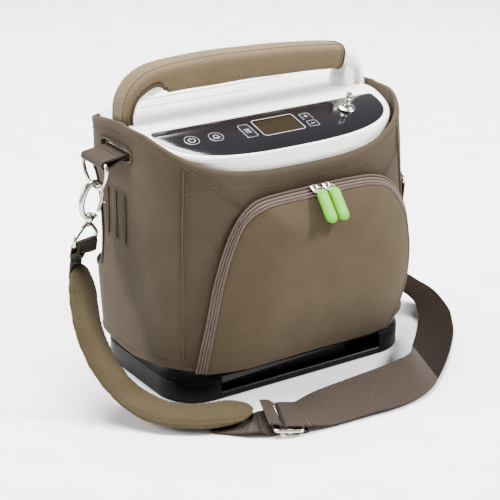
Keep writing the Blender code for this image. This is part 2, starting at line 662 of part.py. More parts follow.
def pocket_point(station, travel, lift=0.0):
    """Point on the pocket at a distance from its edge, lifted along the gusset's normal."""
    edge, inward, reach, step, slant = station
    if travel <= GUSSET:
        inset, depth = travel * math.cos(slant), step + travel * math.sin(slant)
    else:
        first, rim = GUSSET * math.cos(slant), step + GUSSET * math.sin(slant)
        inset = min(first + travel - GUSSET, reach)
        low = min(max((edge.z - 0.031) / 0.06, 0.0), 1.0)
        share = min((inset - first) / 0.05, 1.0)
        full = max(0.0125 + (POCKET_DEPTH - 0.0125) * low, rim)
        depth = rim + (full - rim) * (1 - (1 - share) ** 2)
    flat = edge + inward * inset
    point = Vector((flat.x, case_front_y(flat.x, flat.z) - depth, flat.z))
    return point + (Vector((0, -math.cos(slant), 0)) - inward * math.sin(slant)) * lift


def build_pocket():
    """Pillow-shaped pocket with a groove for its zipper round three sides."""
    stations = pocket_stations()
    seat_low, seat_high = GROOVE
    columns = [(0.0, 0.0), (seat_low, 0.0), (seat_low, -0.0016), (seat_high, -0.0016), (seat_high, 0.0),
               (GUSSET, 0.0), (0.0185, 0.0), (0.0260, 0.0), (0.0380, 0.0), (0.0600, 0.0)]
    bm = bmesh.new()
    front, back = [], []
    for station in stations:
        edge, inward, reach, _, _ = station
        row = [bm.verts.new(pocket_point(station, travel, lift)) for travel, lift in columns]
        row.append(bm.verts.new(pocket_point(station, 1.0)))
        front.append(row)
        behind = []
        for share in (0.0, 0.12, 0.3, 0.6, 1.0):
            flat = edge + inward * reach * share
            behind.append(bm.verts.new((flat.x, case_front_y(flat.x, flat.z) - POCKET_BACK, flat.z)))
        back.append(behind)
    for rows in (front, back):
        for a, b in zip(rows, rows[1:]):
            for i in range(len(a) - 1):
                bm.faces.new((a[i], a[i + 1], b[i + 1], b[i]))
    for (fa, ba), (fb, bb) in zip(zip(front, back), list(zip(front, back))[1:]):
        bm.faces.new((fa[0], fb[0], bb[0], ba[0]))
    bm.faces.new([*front[0], *front[-1][-2::-1], *back[-1], *back[0][-2::-1]])
    return add_object("front_pocket", bm, "tan_neoprene")


def build_zipper():
    """Zipper laid in the pocket's groove."""
    low, high = GROOVE[0] + GAP, GROOVE[1] - GAP
    middle = (low + high) / 2
    rings = []
    for station in pocket_stations():
        rings.append([pocket_point(station, low, -0.0012), pocket_point(station, low, 0.0004),
                      pocket_point(station, middle - 0.0015, 0.0004),
                      pocket_point(station, middle - 0.0009, 0.0011),
                      pocket_point(station, middle + 0.0009, 0.0011),
                      pocket_point(station, middle + 0.0015, 0.0004),
                      pocket_point(station, high, 0.0004), pocket_point(station, high, -0.0012)])
    return add_object("pocket_zipper", loft(rings), "brown_zipper")


SLIDER_XS = (0.0020, 0.0145)
PULL_ANGLE = 50.5            # how steeply the pulls hang over the pocket, degrees


def build_sliders():
    """Two zip sliders on the pocket's top run, each with its hanging pull."""
    _, _, step, slant_deg = POCKET_EDGE[9]
    slant = math.radians(slant_deg)
    travel = sum(GROOVE) / 2
    for label, x in zip(("left", "right"), SLIDER_XS):
        z = POCKET_EDGE[9][1] - travel * math.cos(slant)
        seat = Vector((x, case_front_y(x, z) - step - travel * math.sin(slant), z))
        out = Vector((0, -math.cos(slant), math.sin(slant)))
        down = Vector((0, -math.sin(slant), -math.cos(slant)))

        def plate(middle, along, normal, half_x, start, end, low, high):
            side = Vector((1, 0, 0))
            outline = [(-half_x, start + 0.002), (-half_x + 0.002, start), (half_x - 0.002, start),
                       (half_x, start + 0.002), (half_x, end - 0.004), (half_x - 0.0035, end),
                       (-half_x + 0.0035, end), (-half_x, end - 0.004)]
            return loft([[middle + normal * h + side * u + along * v for u, v in outline] for h in (low, high)])
        add_object(f"zip_slider_{label}", plate(seat, down, out, 0.0044, -0.0050, 0.0050, 0.0018, 0.0048),
                   "nickel", seat)
        hinge = seat + out * 0.0074 + down * 0.0030
        angle = math.radians(PULL_ANGLE)
        along = Vector((0, -math.cos(angle), -math.sin(angle)))
        normal = Vector((0, -math.sin(angle), math.cos(angle)))
        add_object(f"zip_pull_{label}", plate(hinge, along, normal, 0.0056, 0.0015, 0.0345, -0.0001, 0.0030),
                   "green_rubber", hinge)


# ---------------------------------------------------------------- strap fittings on each side
LOOP_AXIS = (0.1530, 0.2070)     # |X| and Z of the D-ring's straight bar
HOOK_TOP = Vector((0.1532, SLOT_Y, 0.1875))
HOOK_FOOT = Vector((0.1612, SLOT_Y, 0.1535))
EYE_WIDTH = {-1: Vector((0.80, 0.58, 0.0)), 1: Vector((0.0, -1.0, 0.0))}


def build_tab(side, label):
    """Webbing loop that leaves the slot and holds the D-ring's straight bar."""
    x_axis, z_axis = LOOP_AXIS
    half = WEBBING_WIDTH / 2
    outer, inner = [], []
    arc = 8
    for radius, ring in ((RING_WIRE + 0.0004 + WEBBING_THICK, outer), (RING_WIRE + 0.0004, inner)):
        for i in range(arc + 1):
            angle = math.pi / 2 - math.pi * i / arc
            ring.append((x_axis + radius * math.cos(angle), z_axis + radius * math.sin(angle)))
    outline = [(0.1275, SLOT_Z + 0.0002), (0.1340, SLOT_Z + 0.0002), *outer,
               (0.1340, SLOT_Z - 0.0034), (0.1275, SLOT_Z - 0.0034)]
    rings = [[Vector((side * x, y, z)) for x, z in outline] for y in (SLOT_Y - half, SLOT_Y + half)]
    tab = add_object(f"strap_tab_{label}", loft(rings), "brown_webbing")
    eyelet = [(x_axis - 0.012, z_axis + 0.0026), (x_axis - 0.012, z_axis + 0.0012), *inner[::-1]]
    hole = [[Vector((side * x, y, z)) for x, z in eyelet] for y in (SLOT_Y - 0.03, SLOT_Y + 0.03)]
    return cut(tab, add_object("eyelet", loft(hole), "brown_webbing"))


def build_d_ring(side, label):
    x_axis, z_axis = LOOP_AXIS
    half = 0.0215
    points = [(side * x_axis, SLOT_Y - half * t, z_axis) for t in (-0.92, -0.45, 0.0, 0.45, 0.92)]
    arc = 14
    for i in range(arc + 1):
        angle = math.pi * i / arc
        points.append((side * x_axis, SLOT_Y - half * math.cos(angle), z_axis - 0.0035 - 0.0215 * math.sin(angle)))
    return add_object(f"d_ring_{label}", wire(points, RING_WIRE, 8, True, (1, 0, 0)), "nickel",
                      (side * x_axis, SLOT_Y, z_axis))


def hook_frame(side):
    foot = Vector((side * HOOK_FOOT.x, HOOK_FOOT.y, HOOK_FOOT.z))
    top = Vector((side * HOOK_TOP.x, HOOK_TOP.y, HOOK_TOP.z))
    up = (top - foot).normalized()
    out = Vector((side, 0, 0))
    out = (out - up * out.dot(up)).normalized()
    return foot, up, out


def build_hook(side, label):
    """Snap hook: hub with a bored foot, hooked body and a sprung gate on its inner side."""
    foot, up, out = hook_frame(side)

    def at(u, v):
        return foot + out * u + up * v
    hub = add_object(f"snap_hook_{label}",
                     turned([(0.0038, 0.0), (0.0042, 0.0025), (0.0034, 0.0055), (0.0019, 0.0055), (0.0019, 0.0)],
                            foot, up, 14, True), "nickel", foot)
    body = smooth_path([at(0.0030, 0.0030), at(0.0078, 0.0080), at(0.0098, 0.0160), at(0.0085, 0.0255),
                        at(0.0045, 0.0325), at(-0.0010, 0.0345), at(-0.0060, 0.0322), at(-0.0082, 0.0275)], 3)
    join(hub, add_object("body", wire(body, 0.0022, 8), "nickel", foot))
    ear = smooth_path([at(-0.0030, 0.0035), at(-0.0062, 0.0062)], 2)
    join(hub, add_object("ear", wire(ear, 0.0020, 8), "nickel", foot))
    gate = [at(-0.0078, 0.0095), at(-0.0088, 0.0150), at(-0.0090, 0.0200), at(-0.0086, 0.0266)]
    add_object(f"hook_gate_{label}", wire(gate, 0.0017, 8), "nickel", gate[0])


def build_eye(side, label):
    """Swivel stem and stirrup that the strap's end loops round."""
    foot, up, _ = hook_frame(side)
    across = EYE_WIDTH[side]
    across = (across - up * across.dot(up)).normalized()
    stem = add_object(f"swivel_eye_{label}",
                      turned([(0.0014, -0.0050), (0.0014, 0.0058), (0.0028, 0.0060), (0.0028, 0.0072)],
                             foot, up, 12), "nickel")
    half = 0.0212
    arms = [foot + across * u * half + up * v for u, v in
            ((-0.20, -0.0028), (0.20, -0.0028), (0.60, -0.0070), (1.0, -0.0130), (1.0, -0.0175), (0.93, -0.0200),
             (-0.93, -0.0200), (-1.0, -0.0175), (-1.0, -0.0130), (-0.60, -0.0070))]
    side_way = up.cross(across)
    return join(stem, add_object("stirrup", wire(arms, 0.0016, 8, True, side_way), "nickel"))


def fold(bar, across, up, through, bar_radius, tail):
    """Stations of webbing folded round a bar, from its tail to where it leaves on the through side."""
    radius = bar_radius + 0.0004 + WEBBING_THICK / 2
    stations = [(bar - through * radius - up * tail * share, across) for share in (1.0, 0.6, 0.25)]
    for i in range(9):
        angle = math.pi * (1 - i / 8)
        stations.append((bar + through * radius * math.cos(angle) + up * radius * math.sin(angle), across))
    stations.append((bar + through * radius - up * 0.0030, across))
    return stations


def webbing(name, stations):
    half, thin = WEBBING_WIDTH / 2, WEBBING_THICK / 2
    section = [(-half, -thin), (half, -thin), (half, thin), (-half, thin)]
    return add_object(name, ribbon(stations, lambda t: section), "brown_webbing")


def eye_bar(side):
    """Middle, width direction and upward direction of the stirrup's bar."""
    foot, up, _ = hook_frame(side)
    across = EYE_WIDTH[side]
    across = (across - up * across.dot(up)).normalized()
    return foot - up * 0.0200, across, up


# shoulder pad and webbing: centre of the strap and the direction across its width
PAD_ROUTE = (
    ((-0.1700, 0.0090, 0.1190), (0.80, 0.58, -0.10)), ((-0.1785, -0.0050, 0.1000), (0.82, 0.56, -0.10)),
    ((-0.1835, -0.0200, 0.0780), (0.83, 0.52, -0.20)), ((-0.1825, -0.0330, 0.0550), (0.83, 0.54, -0.20)),
    ((-0.1765, -0.0460, 0.0350), (0.80, 0.58, -0.15)), ((-0.1680, -0.0600, 0.0205), (0.76, 0.65, -0.08)),
    ((-0.1580, -0.0760, 0.0125), (0.70, 0.71, 0.0)), ((-0.1450, -0.0925, 0.0092), (0.62, 0.78, 0.0)),
    ((-0.1240, -0.1080, 0.0090), (0.48, 0.87, 0.0)), ((-0.1035, -0.1170, 0.0102), (0.30, 0.95, 0.0)),
    ((-0.0800, -0.1215, 0.0126), (0.15, 0.98, 0.0)),
)
LINK_ROUTE = (
    ((-0.1115, -0.1128, 0.0013), (0.75, 0.66, 0.0)), ((-0.1040, -0.1213, 0.0015), (0.75, 0.66, 0.0)),
    ((-0.0960, -0.1300, 0.0026), (0.65, 0.75, -0.02)), ((-0.0885, -0.1368, 0.0048), (0.45, 0.89, -0.05)),
)
MAIN_ROUTE = (
    ((-0.0280, -0.1560, 0.0110), (0.10, 0.86, 0.48)),
    ((0.0046, -0.1591, 0.0166), (-0.05, 0.64, 0.77)), ((0.0380, -0.1630, 0.0190), (-0.17, 0.30, 0.93)),
    ((0.0690, -0.1590, 0.0195), (-0.30, 0.36, 0.90)), ((0.0940, -0.1394, 0.0190), (-0.40, 0.57, 0.72)),
    ((0.1239, -0.1106, 0.0160), (-0.66, 0.42, 0.58)), ((0.1576, -0.0742, 0.0120), (-0.87, 0.15, 0.42)),
    ((0.1729, -0.0527, 0.0120), (-0.94, 0.02, 0.32)), ((0.1826, -0.0355, 0.0132), (-0.96, -0.05, 0.24)),
    ((0.1843, -0.0170, 0.0185), (-0.96, -0.18, 0.14)), ((0.1780, -0.0040, 0.0290), (-0.88, -0.42, 0.08)),
    ((0.1712, 0.0040, 0.0450), (-0.70, -0.70, 0.0)), ((0.1672, 0.0100, 0.0700), (-0.35, -0.93, 0.0)),
    ((0.1655, 0.0135, 0.0980), (0.0, -1.0, 0.0)),
)
SLIDER_CENTRE = Vector((-0.0660, -0.1465, 0.0076))
SLIDER_ALONG = Vector((0.93, -0.34, -0.10)).normalized()
SLIDER_ACROSS = Vector((0.30, 0.93, 0.10))


def pad_section(t):
    """Lens section that narrows to a rounded tip at both ends."""
    taper = min(t, 1 - t) / 0.10
    width = PAD_WIDTH / 2 * (1.0 if taper > 1 else max(0.28, math.sqrt(1 - (1 - taper) ** 2)))
    thick = PAD_THICK / 2 * (1.0 if taper > 1 else 0.55 + 0.45 * taper)
    return [(-width, -0.35 * thick), (-0.8 * width, -thick), (0.8 * width, -thick), (width, -0.35 * thick),
            (width, 0.35 * thick), (0.8 * width, thick), (-0.8 * width, thick), (-width, 0.35 * thick)]


def slider_axes():
    along = SLIDER_ALONG
    across = (SLIDER_ACROSS - along * SLIDER_ACROSS.dot(along)).normalized()
    return along, across, along.cross(across).normalized()


def build_strap():
    add_object("shoulder_pad", ribbon(smooth_stations(PAD_ROUTE), pad_section), "tan_neoprene")

    bar, across, up = eye_bar(-1)
    start = fold(bar, across, up, across.cross(up), 0.0016, 0.0110)
    webbing("strap_end", [*start, (start[-1][0] - up * 0.0040, across), (start[-1][0] - up * 0.0080, across)])

    along, across, normal = slider_axes()
    loop = fold(SLIDER_CENTRE - along * 0.0120, across, along, -normal, 0.0016, 0.0060)
    webbing("strap_link", loop[:-1] + smooth_stations([loop[-1], *LINK_ROUTE[::-1]]))

    start = fold(SLIDER_CENTRE, across, -along, normal, 0.0014, 0.0180)[:-1]
    top_ply = [(SLIDER_CENTRE + along * reach + normal * 0.0029, across) for reach in (0.0090, 0.0160)]
    bar, eye_across, up = eye_bar(1)
    end = fold(bar, eye_across, up, up.cross(eye_across), 0.0016, 0.0110)[::-1]
    middle = smooth_stations([top_ply[1], *MAIN_ROUTE, end[0]])
    webbing("strap_webbing", [*start, top_ply[0], *middle, *end[1:]])


def build_slider():
    """Flat three-bar strap adjuster between the link and the main webbing."""
    along, across, normal = slider_axes()
    half_along, half_across = 0.0120, 0.0215
    frame = [SLIDER_CENTRE + along * u * half_along + across * v * half_across for u, v in
             ((-1, -0.94), (-0.80, -1), (0.80, -1), (1, -0.94), (1, 0.94), (0.80, 1), (-0.80, 1), (-1, 0.94))]
    ring = add_object("strap_slider", wire(frame, 0.0016, 8, True, normal), "nickel")
    bar = [SLIDER_CENTRE - across * half_across, SLIDER_CENTRE + across * half_across]
    return join(ring, add_object("bar", wire(bar, 0.0014, 8, False, along), "nickel"))


build_base()
build_battery()
build_housings()
build_inside()
build_top()
build_panel()
build_handle()
build_case()
build_pocket()
build_zipper()
build_sliders()
for side_sign, side_label in ((-1, "left"), (1, "right")):
    build_tab(side_sign, side_label)
    build_d_ring(side_sign, side_label)
    build_hook(side_sign, side_label)
    build_eye(side_sign, side_label)
build_strap()
build_slider()
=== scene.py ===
"""Looks of the portable oxygen concentrator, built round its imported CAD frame.

Metres, +Z up, in the CAD's own frame: the origin is under the middle of the base, the front
with the pocket faces -Y. Every shape is placed from the same dimensions as the CAD.
"""
import math

import bmesh
import bpy
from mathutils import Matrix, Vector, noise
from mathutils.bvhtree import BVHTree
from mathutils.kdtree import KDTree


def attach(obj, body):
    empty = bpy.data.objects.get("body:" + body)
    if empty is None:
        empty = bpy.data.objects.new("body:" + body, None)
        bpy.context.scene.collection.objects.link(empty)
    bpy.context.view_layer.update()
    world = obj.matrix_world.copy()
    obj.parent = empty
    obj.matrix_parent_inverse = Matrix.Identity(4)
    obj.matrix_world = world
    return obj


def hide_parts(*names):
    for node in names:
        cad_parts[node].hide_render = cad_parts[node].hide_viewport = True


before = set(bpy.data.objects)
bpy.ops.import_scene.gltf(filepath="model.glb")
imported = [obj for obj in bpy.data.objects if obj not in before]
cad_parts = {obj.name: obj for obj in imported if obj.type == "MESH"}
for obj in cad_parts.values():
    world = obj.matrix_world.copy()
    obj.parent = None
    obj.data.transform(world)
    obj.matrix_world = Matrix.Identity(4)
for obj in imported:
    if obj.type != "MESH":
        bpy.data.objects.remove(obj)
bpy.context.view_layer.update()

# ---------------------------------------------------------------- dimensions
GAP = 0.0003
CASE_HALF_WIDTH, CASE_HALF_DEPTH, CASE_WALL = 0.1322, 0.0816, 0.0032
HOUSING_HALF_WIDTH, HOUSING_HALF_DEPTH = 0.1265, 0.0758
PLATEAU, PANEL_HINGE_Y, PANEL_SLOPE = 0.2327, -0.0153, 0.2694
PANEL_HALF_WIDTH, PANEL_FRONT_Y, PANEL_THICK, RECESS_DEPTH = 0.1165, -0.0715, 0.0016, 0.0020
SLOT_Y, SLOT_Z = 0.0145, 0.2125
WEBBING_WIDTH, WEBBING_THICK = 0.0380, 0.0020
RING_WIRE = 0.0017
VENT_YS = (0.0010, 0.0170, 0.0315)
ROOT = "concentrator"


# ---------------------------------------------------------------- materials
def srgb(r, g, b):
    """Linear colour of an sRGB one, given from 0 to 255."""
    def linear(c):
        c /= 255
        return c / 12.92 if c <= 0.04045 else ((c + 0.055) / 1.055) ** 2.4
    return (linear(r), linear(g), linear(b))


class Look:
    """A Principled material and the short calls that build its nodes."""

    def __init__(self, name, roughness=0.5, metallic=0.0, color=(0.5, 0.5, 0.5), **constants):
        self.material = bpy.data.materials.new(name)
        self.material.use_nodes = True
        self.tree = self.material.node_tree
        self.shader = self.tree.nodes["Principled BSDF"]
        self.places = {}
        for key, value in {"Base_Color": color, "Roughness": roughness,
                          "Metallic": metallic, **constants}.items():
            self.put(self.shader.inputs[key.replace("_", " ")], value)

    def node(self, kind, **settings):
        made = self.tree.nodes.new(kind)
        for key, value in settings.items():
            setattr(made, key, value)
        return made

    def put(self, socket, value):
        if isinstance(value, bpy.types.NodeSocket):
            self.tree.links.new(value, socket)
        elif isinstance(value, tuple) and len(value) == 3 and socket.type == "RGBA":
            socket.default_value = (*value, 1.0)
        else:
            socket.default_value = value

    def coords(self, kind="Object"):
        if kind not in self.places:
            self.places[kind] = self.node("ShaderNodeTexCoord").outputs[kind]
        return self.places[kind]

    def noise(self, scale, detail=3.0, roughness=0.5):
        made = self.node("ShaderNodeTexNoise")
        for key, value in (("Vector", self.coords()), ("Scale", scale),
                           ("Detail", detail), ("Roughness", roughness)):
            self.put(made.inputs[key], value)
        return made.outputs["Fac"]

    def cells(self, scale):
        made = self.node("ShaderNodeTexVoronoi")
        self.put(made.inputs["Vector"], self.coords())
        made.inputs["Scale"].default_value = scale
        return made.outputs["Distance"]

    def calc(self, operation, first, second=0.0, third=0.0):
        made = self.node("ShaderNodeMath", operation=operation)
        for socket, value in zip(made.inputs, (first, second, third)):
            self.put(socket, value)
        return made.outputs[0]

    def ramp(self, factor, *stops):
        made = self.node("ShaderNodeValToRGB")
        line = made.color_ramp.elements
        while len(line) < len(stops):
            line.new(0.5)
        for element, (place, color) in zip(line, stops):
            element.position = place
            element.color = (*color, 1.0) if isinstance(color, tuple) else (color, color, color, 1.0)
        self.put(made.inputs["Fac"], factor)
        return made.outputs["Color"]

    def mix(self, factor, first, second):
        made = self.node("ShaderNodeMix", data_type="RGBA")
        for index, value in ((0, factor), (6, first), (7, second)):
            self.put(made.inputs[index], value)
        return made.outputs[2]

    def bump(self, height, distance, strength=1.0, under=None):
        made = self.node("ShaderNodeBump")
        self.put(made.inputs["Height"], height)
        made.inputs["Distance"].default_value = distance
        made.inputs["Strength"].default_value = strength
        if under is not None:
            self.put(made.inputs["Normal"], under)
        return made.outputs["Normal"]

    def color(self, value):
        self.put(self.shader.inputs["Base Color"], value)

    def rough(self, value):
        self.put(self.shader.inputs["Roughness"], value)

    def normal(self, value):
        self.put(self.shader.inputs["Normal"], value)


def shade(color, factor):
    return tuple(min(c * factor, 1.0) for c in color)


def neoprene(name, color):
    """Knitted nylon over foam: soft mottling, a fine knit grain and a faint sheen."""
    look = Look(name, 0.88, color=color, Sheen_Weight=0.03, Sheen_Roughness=0.5, Specular_IOR_Level=0.10)
    cloudy = look.noise(38.0, 4.0, 0.6)
    grain = look.noise(1500.0, 2.0, 0.6)
    knit = look.cells(1150.0)
    tone = look.ramp(cloudy, (0.30, shade(color, 0.86)), (0.72, shade(color, 1.13)))
    fine = look.ramp(grain, (0.32, shade(color, 0.66)), (0.70, shade(color, 1.36)))
    look.color(look.mix(0.42, tone, fine))
    look.rough(look.ramp(grain, (0.2, 0.80), (0.8, 0.96)))
    soft = look.bump(cloudy, 0.0012, 0.35)
    look.normal(look.bump(knit, 0.00022, 0.55, look.bump(grain, 0.00018, 0.5, soft)))
    return look.material


def woven(name, color, pitch=0.0021, strands=0.0019, gloss=0.14):
    """Woven tape on UVs in metres: crosswise ribs broken up by lengthwise strands."""
    look = Look(name, 0.80, color=color, Sheen_Weight=0.02, Specular_IOR_Level=gloss)
    split = look.node("ShaderNodeSeparateXYZ")
    look.put(split.inputs[0], look.coords("UV"))
    across, along = split.outputs[0], split.outputs[1]
    strand = look.calc("SINE", look.calc("MULTIPLY", across, 2 * math.pi / strands))
    shift = look.calc("MULTIPLY", strand, 0.35)
    rib = look.calc("SINE", look.calc("ADD", look.calc("MULTIPLY", along, 2 * math.pi / pitch), shift))
    weave = look.calc("MULTIPLY_ADD", rib, 0.5, 0.5)
    lanes = look.calc("MULTIPLY_ADD", strand, 0.5, 0.5)
    fibres = look.noise(2400.0, 2.0, 0.6)
    height = look.calc("ADD", weave, look.calc("ADD", look.calc("MULTIPLY", lanes, 0.18),
                                               look.calc("MULTIPLY", fibres, 0.3)))
    tone = look.ramp(height, (0.15, shade(color, 0.42)), (0.60, color), (1.0, shade(color, 1.55)))
    worn = look.noise(60.0, 3.0)
    look.color(look.mix(look.ramp(worn, (0.35, 0.0), (0.75, 0.30)), tone, shade(color, 1.30)))
    look.normal(look.bump(height, 0.00045, 0.9))
    return look.material


def moulded(name, color, roughness, grain=0.00003, scale=900.0, spread=0.06, **constants):
    """Moulded plastic: a fine surface grain, and roughness that wanders a little."""
    look = Look(name, roughness, color=color, **constants)
    slow = look.noise(22.0, 3.0)
    fine = look.noise(scale, 3.0, 0.6)
    look.color(look.ramp(slow, (0.25, shade(color, 0.95)), (0.75, shade(color, 1.05))))
    look.rough(look.ramp(look.calc("MULTIPLY_ADD", fine, 0.4, look.calc("MULTIPLY", slow, 0.6)),
                         (0.3, max(roughness - spread, 0.02)), (0.7, roughness + spread)))
    look.normal(look.bump(fine, grain, 0.6))
    return look.material


def metal(name, color, roughness):
    """Plated or cast metal with light wear."""
    look = Look(name, roughness, 1.0, color=color)
    slow = look.noise(120.0, 4.0, 0.6)
    fine = look.noise(2500.0, 2.0)
    look.color(look.ramp(slow, (0.3, shade(color, 0.82)), (0.7, shade(color, 1.06))))
    look.rough(look.ramp(slow, (0.3, roughness * 0.7), (0.75, roughness * 1.5)))
    look.normal(look.bump(fine, 0.00002, 0.3))
    return look.material


LOOKS = {
    "case": neoprene("case_neoprene", srgb(61, 52, 40)),
    "pocket": neoprene("pocket_neoprene", srgb(66, 56, 42)),
    "wrap": neoprene("wrap_neoprene", srgb(94, 81, 61)),
    "pad": neoprene("pad_neoprene", srgb(63, 54, 37)),
    "binding": woven("binding_tape", srgb(62, 51, 39), 0.0011, 0.0016),
    "piping": woven("zipper_piping", srgb(82, 70, 62), 0.0010, 0.0012),
    "webbing": woven("brown_webbing", srgb(47, 39, 33)),
    # Painted shade: a darker copy of the brown webbing, laid on the strap's loop past its turn.
    "webbing_shade": woven("webbing_painted_shade", srgb(20, 14, 8), 0.0014, 0.0014, 0.02),
    "zipper": woven("zipper_tape", srgb(88, 75, 68), 0.0012, 0.0011),
    "thread": moulded("thread", srgb(44, 37, 28), 0.75, 0.00008, 3000.0),
    "pale_thread": moulded("pale_thread", srgb(60, 50, 38), 0.75, 0.00008, 3000.0),
    "green": moulded("green_rubber", srgb(74, 152, 0), 0.42, 0.00004, 700.0, Specular_IOR_Level=0.25),
    "white": moulded("white_plastic", srgb(238, 237, 233), 0.24, 0.000012, 1200.0, 0.05),
    "panel": moulded("panel_plastic", srgb(13, 12, 16), 0.12, 0.000004, 1500.0, 0.03, Coat_Weight=0.15),
    "key": moulded("key_plastic", srgb(19, 18, 22), 0.16, 0.00001, 1500.0, 0.04),
    "lcd": moulded("lcd_glass", srgb(30, 25, 14), 0.06, 0.000003, 900.0, 0.02, Coat_Weight=0.2,
                   Specular_IOR_Level=0.25),
    "ink": moulded("white_ink", srgb(165, 165, 170), 0.35, 0.00001),
    "nickel": metal("nickel", srgb(196, 190, 176), 0.22),
    "black": moulded("black_plastic", srgb(8, 7, 8), 0.45, 0.00005, 1100.0, 0.08, Specular_IOR_Level=0.09),
    "rib": moulded("base_rib_plastic", srgb(30, 30, 29), 0.42, 0.00004, 1100.0, 0.06, Specular_IOR_Level=0.3),
    "grey": moulded("grey_plastic", srgb(132, 135, 134), 0.42, 0.00005),
    "foam": moulded("filter_foam", srgb(44, 44, 44), 0.95, 0.0006, 900.0, 0.03),
    "aluminium": metal("aluminium", srgb(190, 192, 194), 0.38),
    "floor": moulded("pale_floor", (0.92, 0.92, 0.92), 0.9, 0.00002, 300.0, 0.03),
}


def circuit_look():
    """Green solder mask with a copper-track pattern."""
    look = Look("circuit_board", 0.4, color=srgb(20, 88, 52), Coat_Weight=0.3)
    brick = look.node("ShaderNodeTexBrick")
    look.put(brick.inputs["Vector"], look.coords())
    brick.inputs["Scale"].default_value = 60.0
    brick.inputs["Mortar Size"].default_value = 0.06
    look.put(brick.inputs["Color1"], srgb(20, 88, 52))
    look.put(brick.inputs["Color2"], srgb(26, 104, 62))
    look.put(brick.inputs["Mortar"], srgb(92, 128, 70))
    look.color(brick.outputs["Color"])
    look.normal(look.bump(look.noise(400.0), 0.0001, 0.5))
    return look.material


def wrap_look():
    """Shrink-wrapped cells: a soft gloss with the cells' ridges showing."""
    look = Look("cell_wrap", 0.34, color=srgb(52, 98, 160))
    split = look.node("ShaderNodeSeparateXYZ")
    look.put(split.inputs[0], look.coords())
    ridge = look.calc("ABSOLUTE",
                      look.calc("SINE", look.calc("MULTIPLY", split.outputs[0], math.pi / 0.0185)))
    look.color(look.ramp(ridge, (0.0, srgb(30, 62, 110)), (0.5, srgb(56, 104, 168))))
    look.normal(look.bump(ridge, 0.0012, 0.7))
    return look.material


LOOKS["board"] = circuit_look()
LOOKS["cells"] = wrap_look()

SLOTS = dict.fromkeys(("case", "pocket", "wrap", "pad", "binding", "thread", "pale_thread"), "neoprene")
SLOTS |= {"webbing": "webbing", "zipper": "zipper", "piping": "zipper", "green": "green_rubber",
          "white": "white_plastic",
          "key": "button_plastic", "ink": "button_plastic", "lcd": "lcd_glass", "nickel": "nickel",
          "black": "black_plastic", "rib": "black_plastic"}


# ---------------------------------------------------------------- mesh helpers
def sharpen(piece, angle):
    """Smooth shading, with sharp edges above that angle in degrees; None leaves no edge sharp."""
    piece.data.shade_smooth()
    if angle:
        piece.data.set_sharp_from_angle(angle=math.radians(angle))


def made_object(name, bm, look, body=ROOT, angle=40.0, replaces=()):
    """Turn a bmesh in frame coordinates into a piece that rides on a body."""
    bmesh.ops.recalc_face_normals(bm, faces=bm.faces)
    made = bpy.data.objects.new(name, bpy.data.meshes.new(name))
    bm.to_mesh(made.data)
    bm.free()
    sharpen(made, angle)
    made.data.materials.append(LOOKS[look])
    bpy.context.scene.collection.objects.link(made)
    if body:
        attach(made, body)
        if replaces:
            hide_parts(*replaces)
    return made


def claim(piece, node, angle=None):
    """Finish a piece that was cut or reshaped after it was made."""
    if angle:
        sharpen(piece, angle)
    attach(piece, ROOT)
    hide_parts(node)


def settled(piece):
    """Apply a piece's modifiers to its mesh."""
    bpy.context.view_layer.update()
    graph = bpy.context.evaluated_depsgraph_get()
    piece.data = bpy.data.meshes.new_from_object(piece.evaluated_get(graph))
    piece.modifiers.clear()


def grid_mesh(rows, close_around=False, close_ends=False, cap=False, bm=None):
    """Skin rows of points, with UVs in metres; close_around joins each row's ends."""
    bm = bm or bmesh.new()
    uv = bm.loops.layers.uv.verify()
    count = len(rows[0])
    made = [[bm.verts.new(p) for p in row] for row in rows]
    middle = count // 2
    along = [0.0]
    for a, b in zip(rows, rows[1:]):
        along.append(along[-1] + (b[middle] - a[middle]).length)
    across = [0.0]
    reference = rows[len(rows) // 2]
    for a, b in zip(reference, [*reference[1:], reference[0]]):
        across.append(across[-1] + (b - a).length)
    spans = [(i, i + 1, i, i + 1) for i in range(len(rows) - 1)]
    if close_ends:
        spans.append((len(rows) - 1, 0, len(rows) - 1, len(rows)))
        along.append(along[-1] + (rows[0][middle] - rows[-1][middle]).length)
    for a, b, ua, ub in spans:
        for i in range(count if close_around else count - 1):
            j = (i + 1) % count
            face = bm.faces.new((made[a][i], made[a][j], made[b][j], made[b][i]))
            for loop, place in zip(face.loops, ((across[i], along[ua]), (across[i + 1], along[ua]),
                                                (across[i + 1], along[ub]), (across[i], along[ub]))):
                loop[uv].uv = place
    if cap:
        bm.faces.new(list(reversed(made[0])))
        bm.faces.new(made[-1])
    return bm


def cut(target, tool_bm):
    """Apply one exact Boolean difference, then drop its tool."""
    mesh = bpy.data.meshes.new("tool")
    bmesh.ops.recalc_face_normals(tool_bm, faces=tool_bm.faces)
    tool_bm.to_mesh(mesh)
    tool_bm.free()
    mesh.materials.append(target.data.materials[0])
    tool = bpy.data.objects.new("tool", mesh)
    bpy.context.scene.collection.objects.link(tool)
    step = target.modifiers.new("cut", "BOOLEAN")
    step.object, step.operation, step.solver = tool, "DIFFERENCE", "EXACT"
    settled(target)
    bpy.data.objects.remove(tool, do_unlink=True)


def box_into(bm, low, high):
    made = bmesh.ops.create_cube(bm, size=1.0)["verts"]
    bmesh.ops.scale(bm, verts=made, vec=[b - a for a, b in zip(low, high)])
    bmesh.ops.translate(bm, verts=made, vec=[(a + b) / 2 for a, b in zip(low, high)])


def arc(first, last, steps):
    """Cosine and sine at even steps from one angle to another, both included."""
    return [(math.cos(a), math.sin(a))
            for a in [first + (last - first) * i / steps for i in range(steps + 1)]]


def around(count, offset=0.0):
    """Cosine and sine at even steps of a whole turn."""
    return [(math.cos(a), math.sin(a)) for a in [2 * math.pi * (k + offset) / count for k in range(count)]]


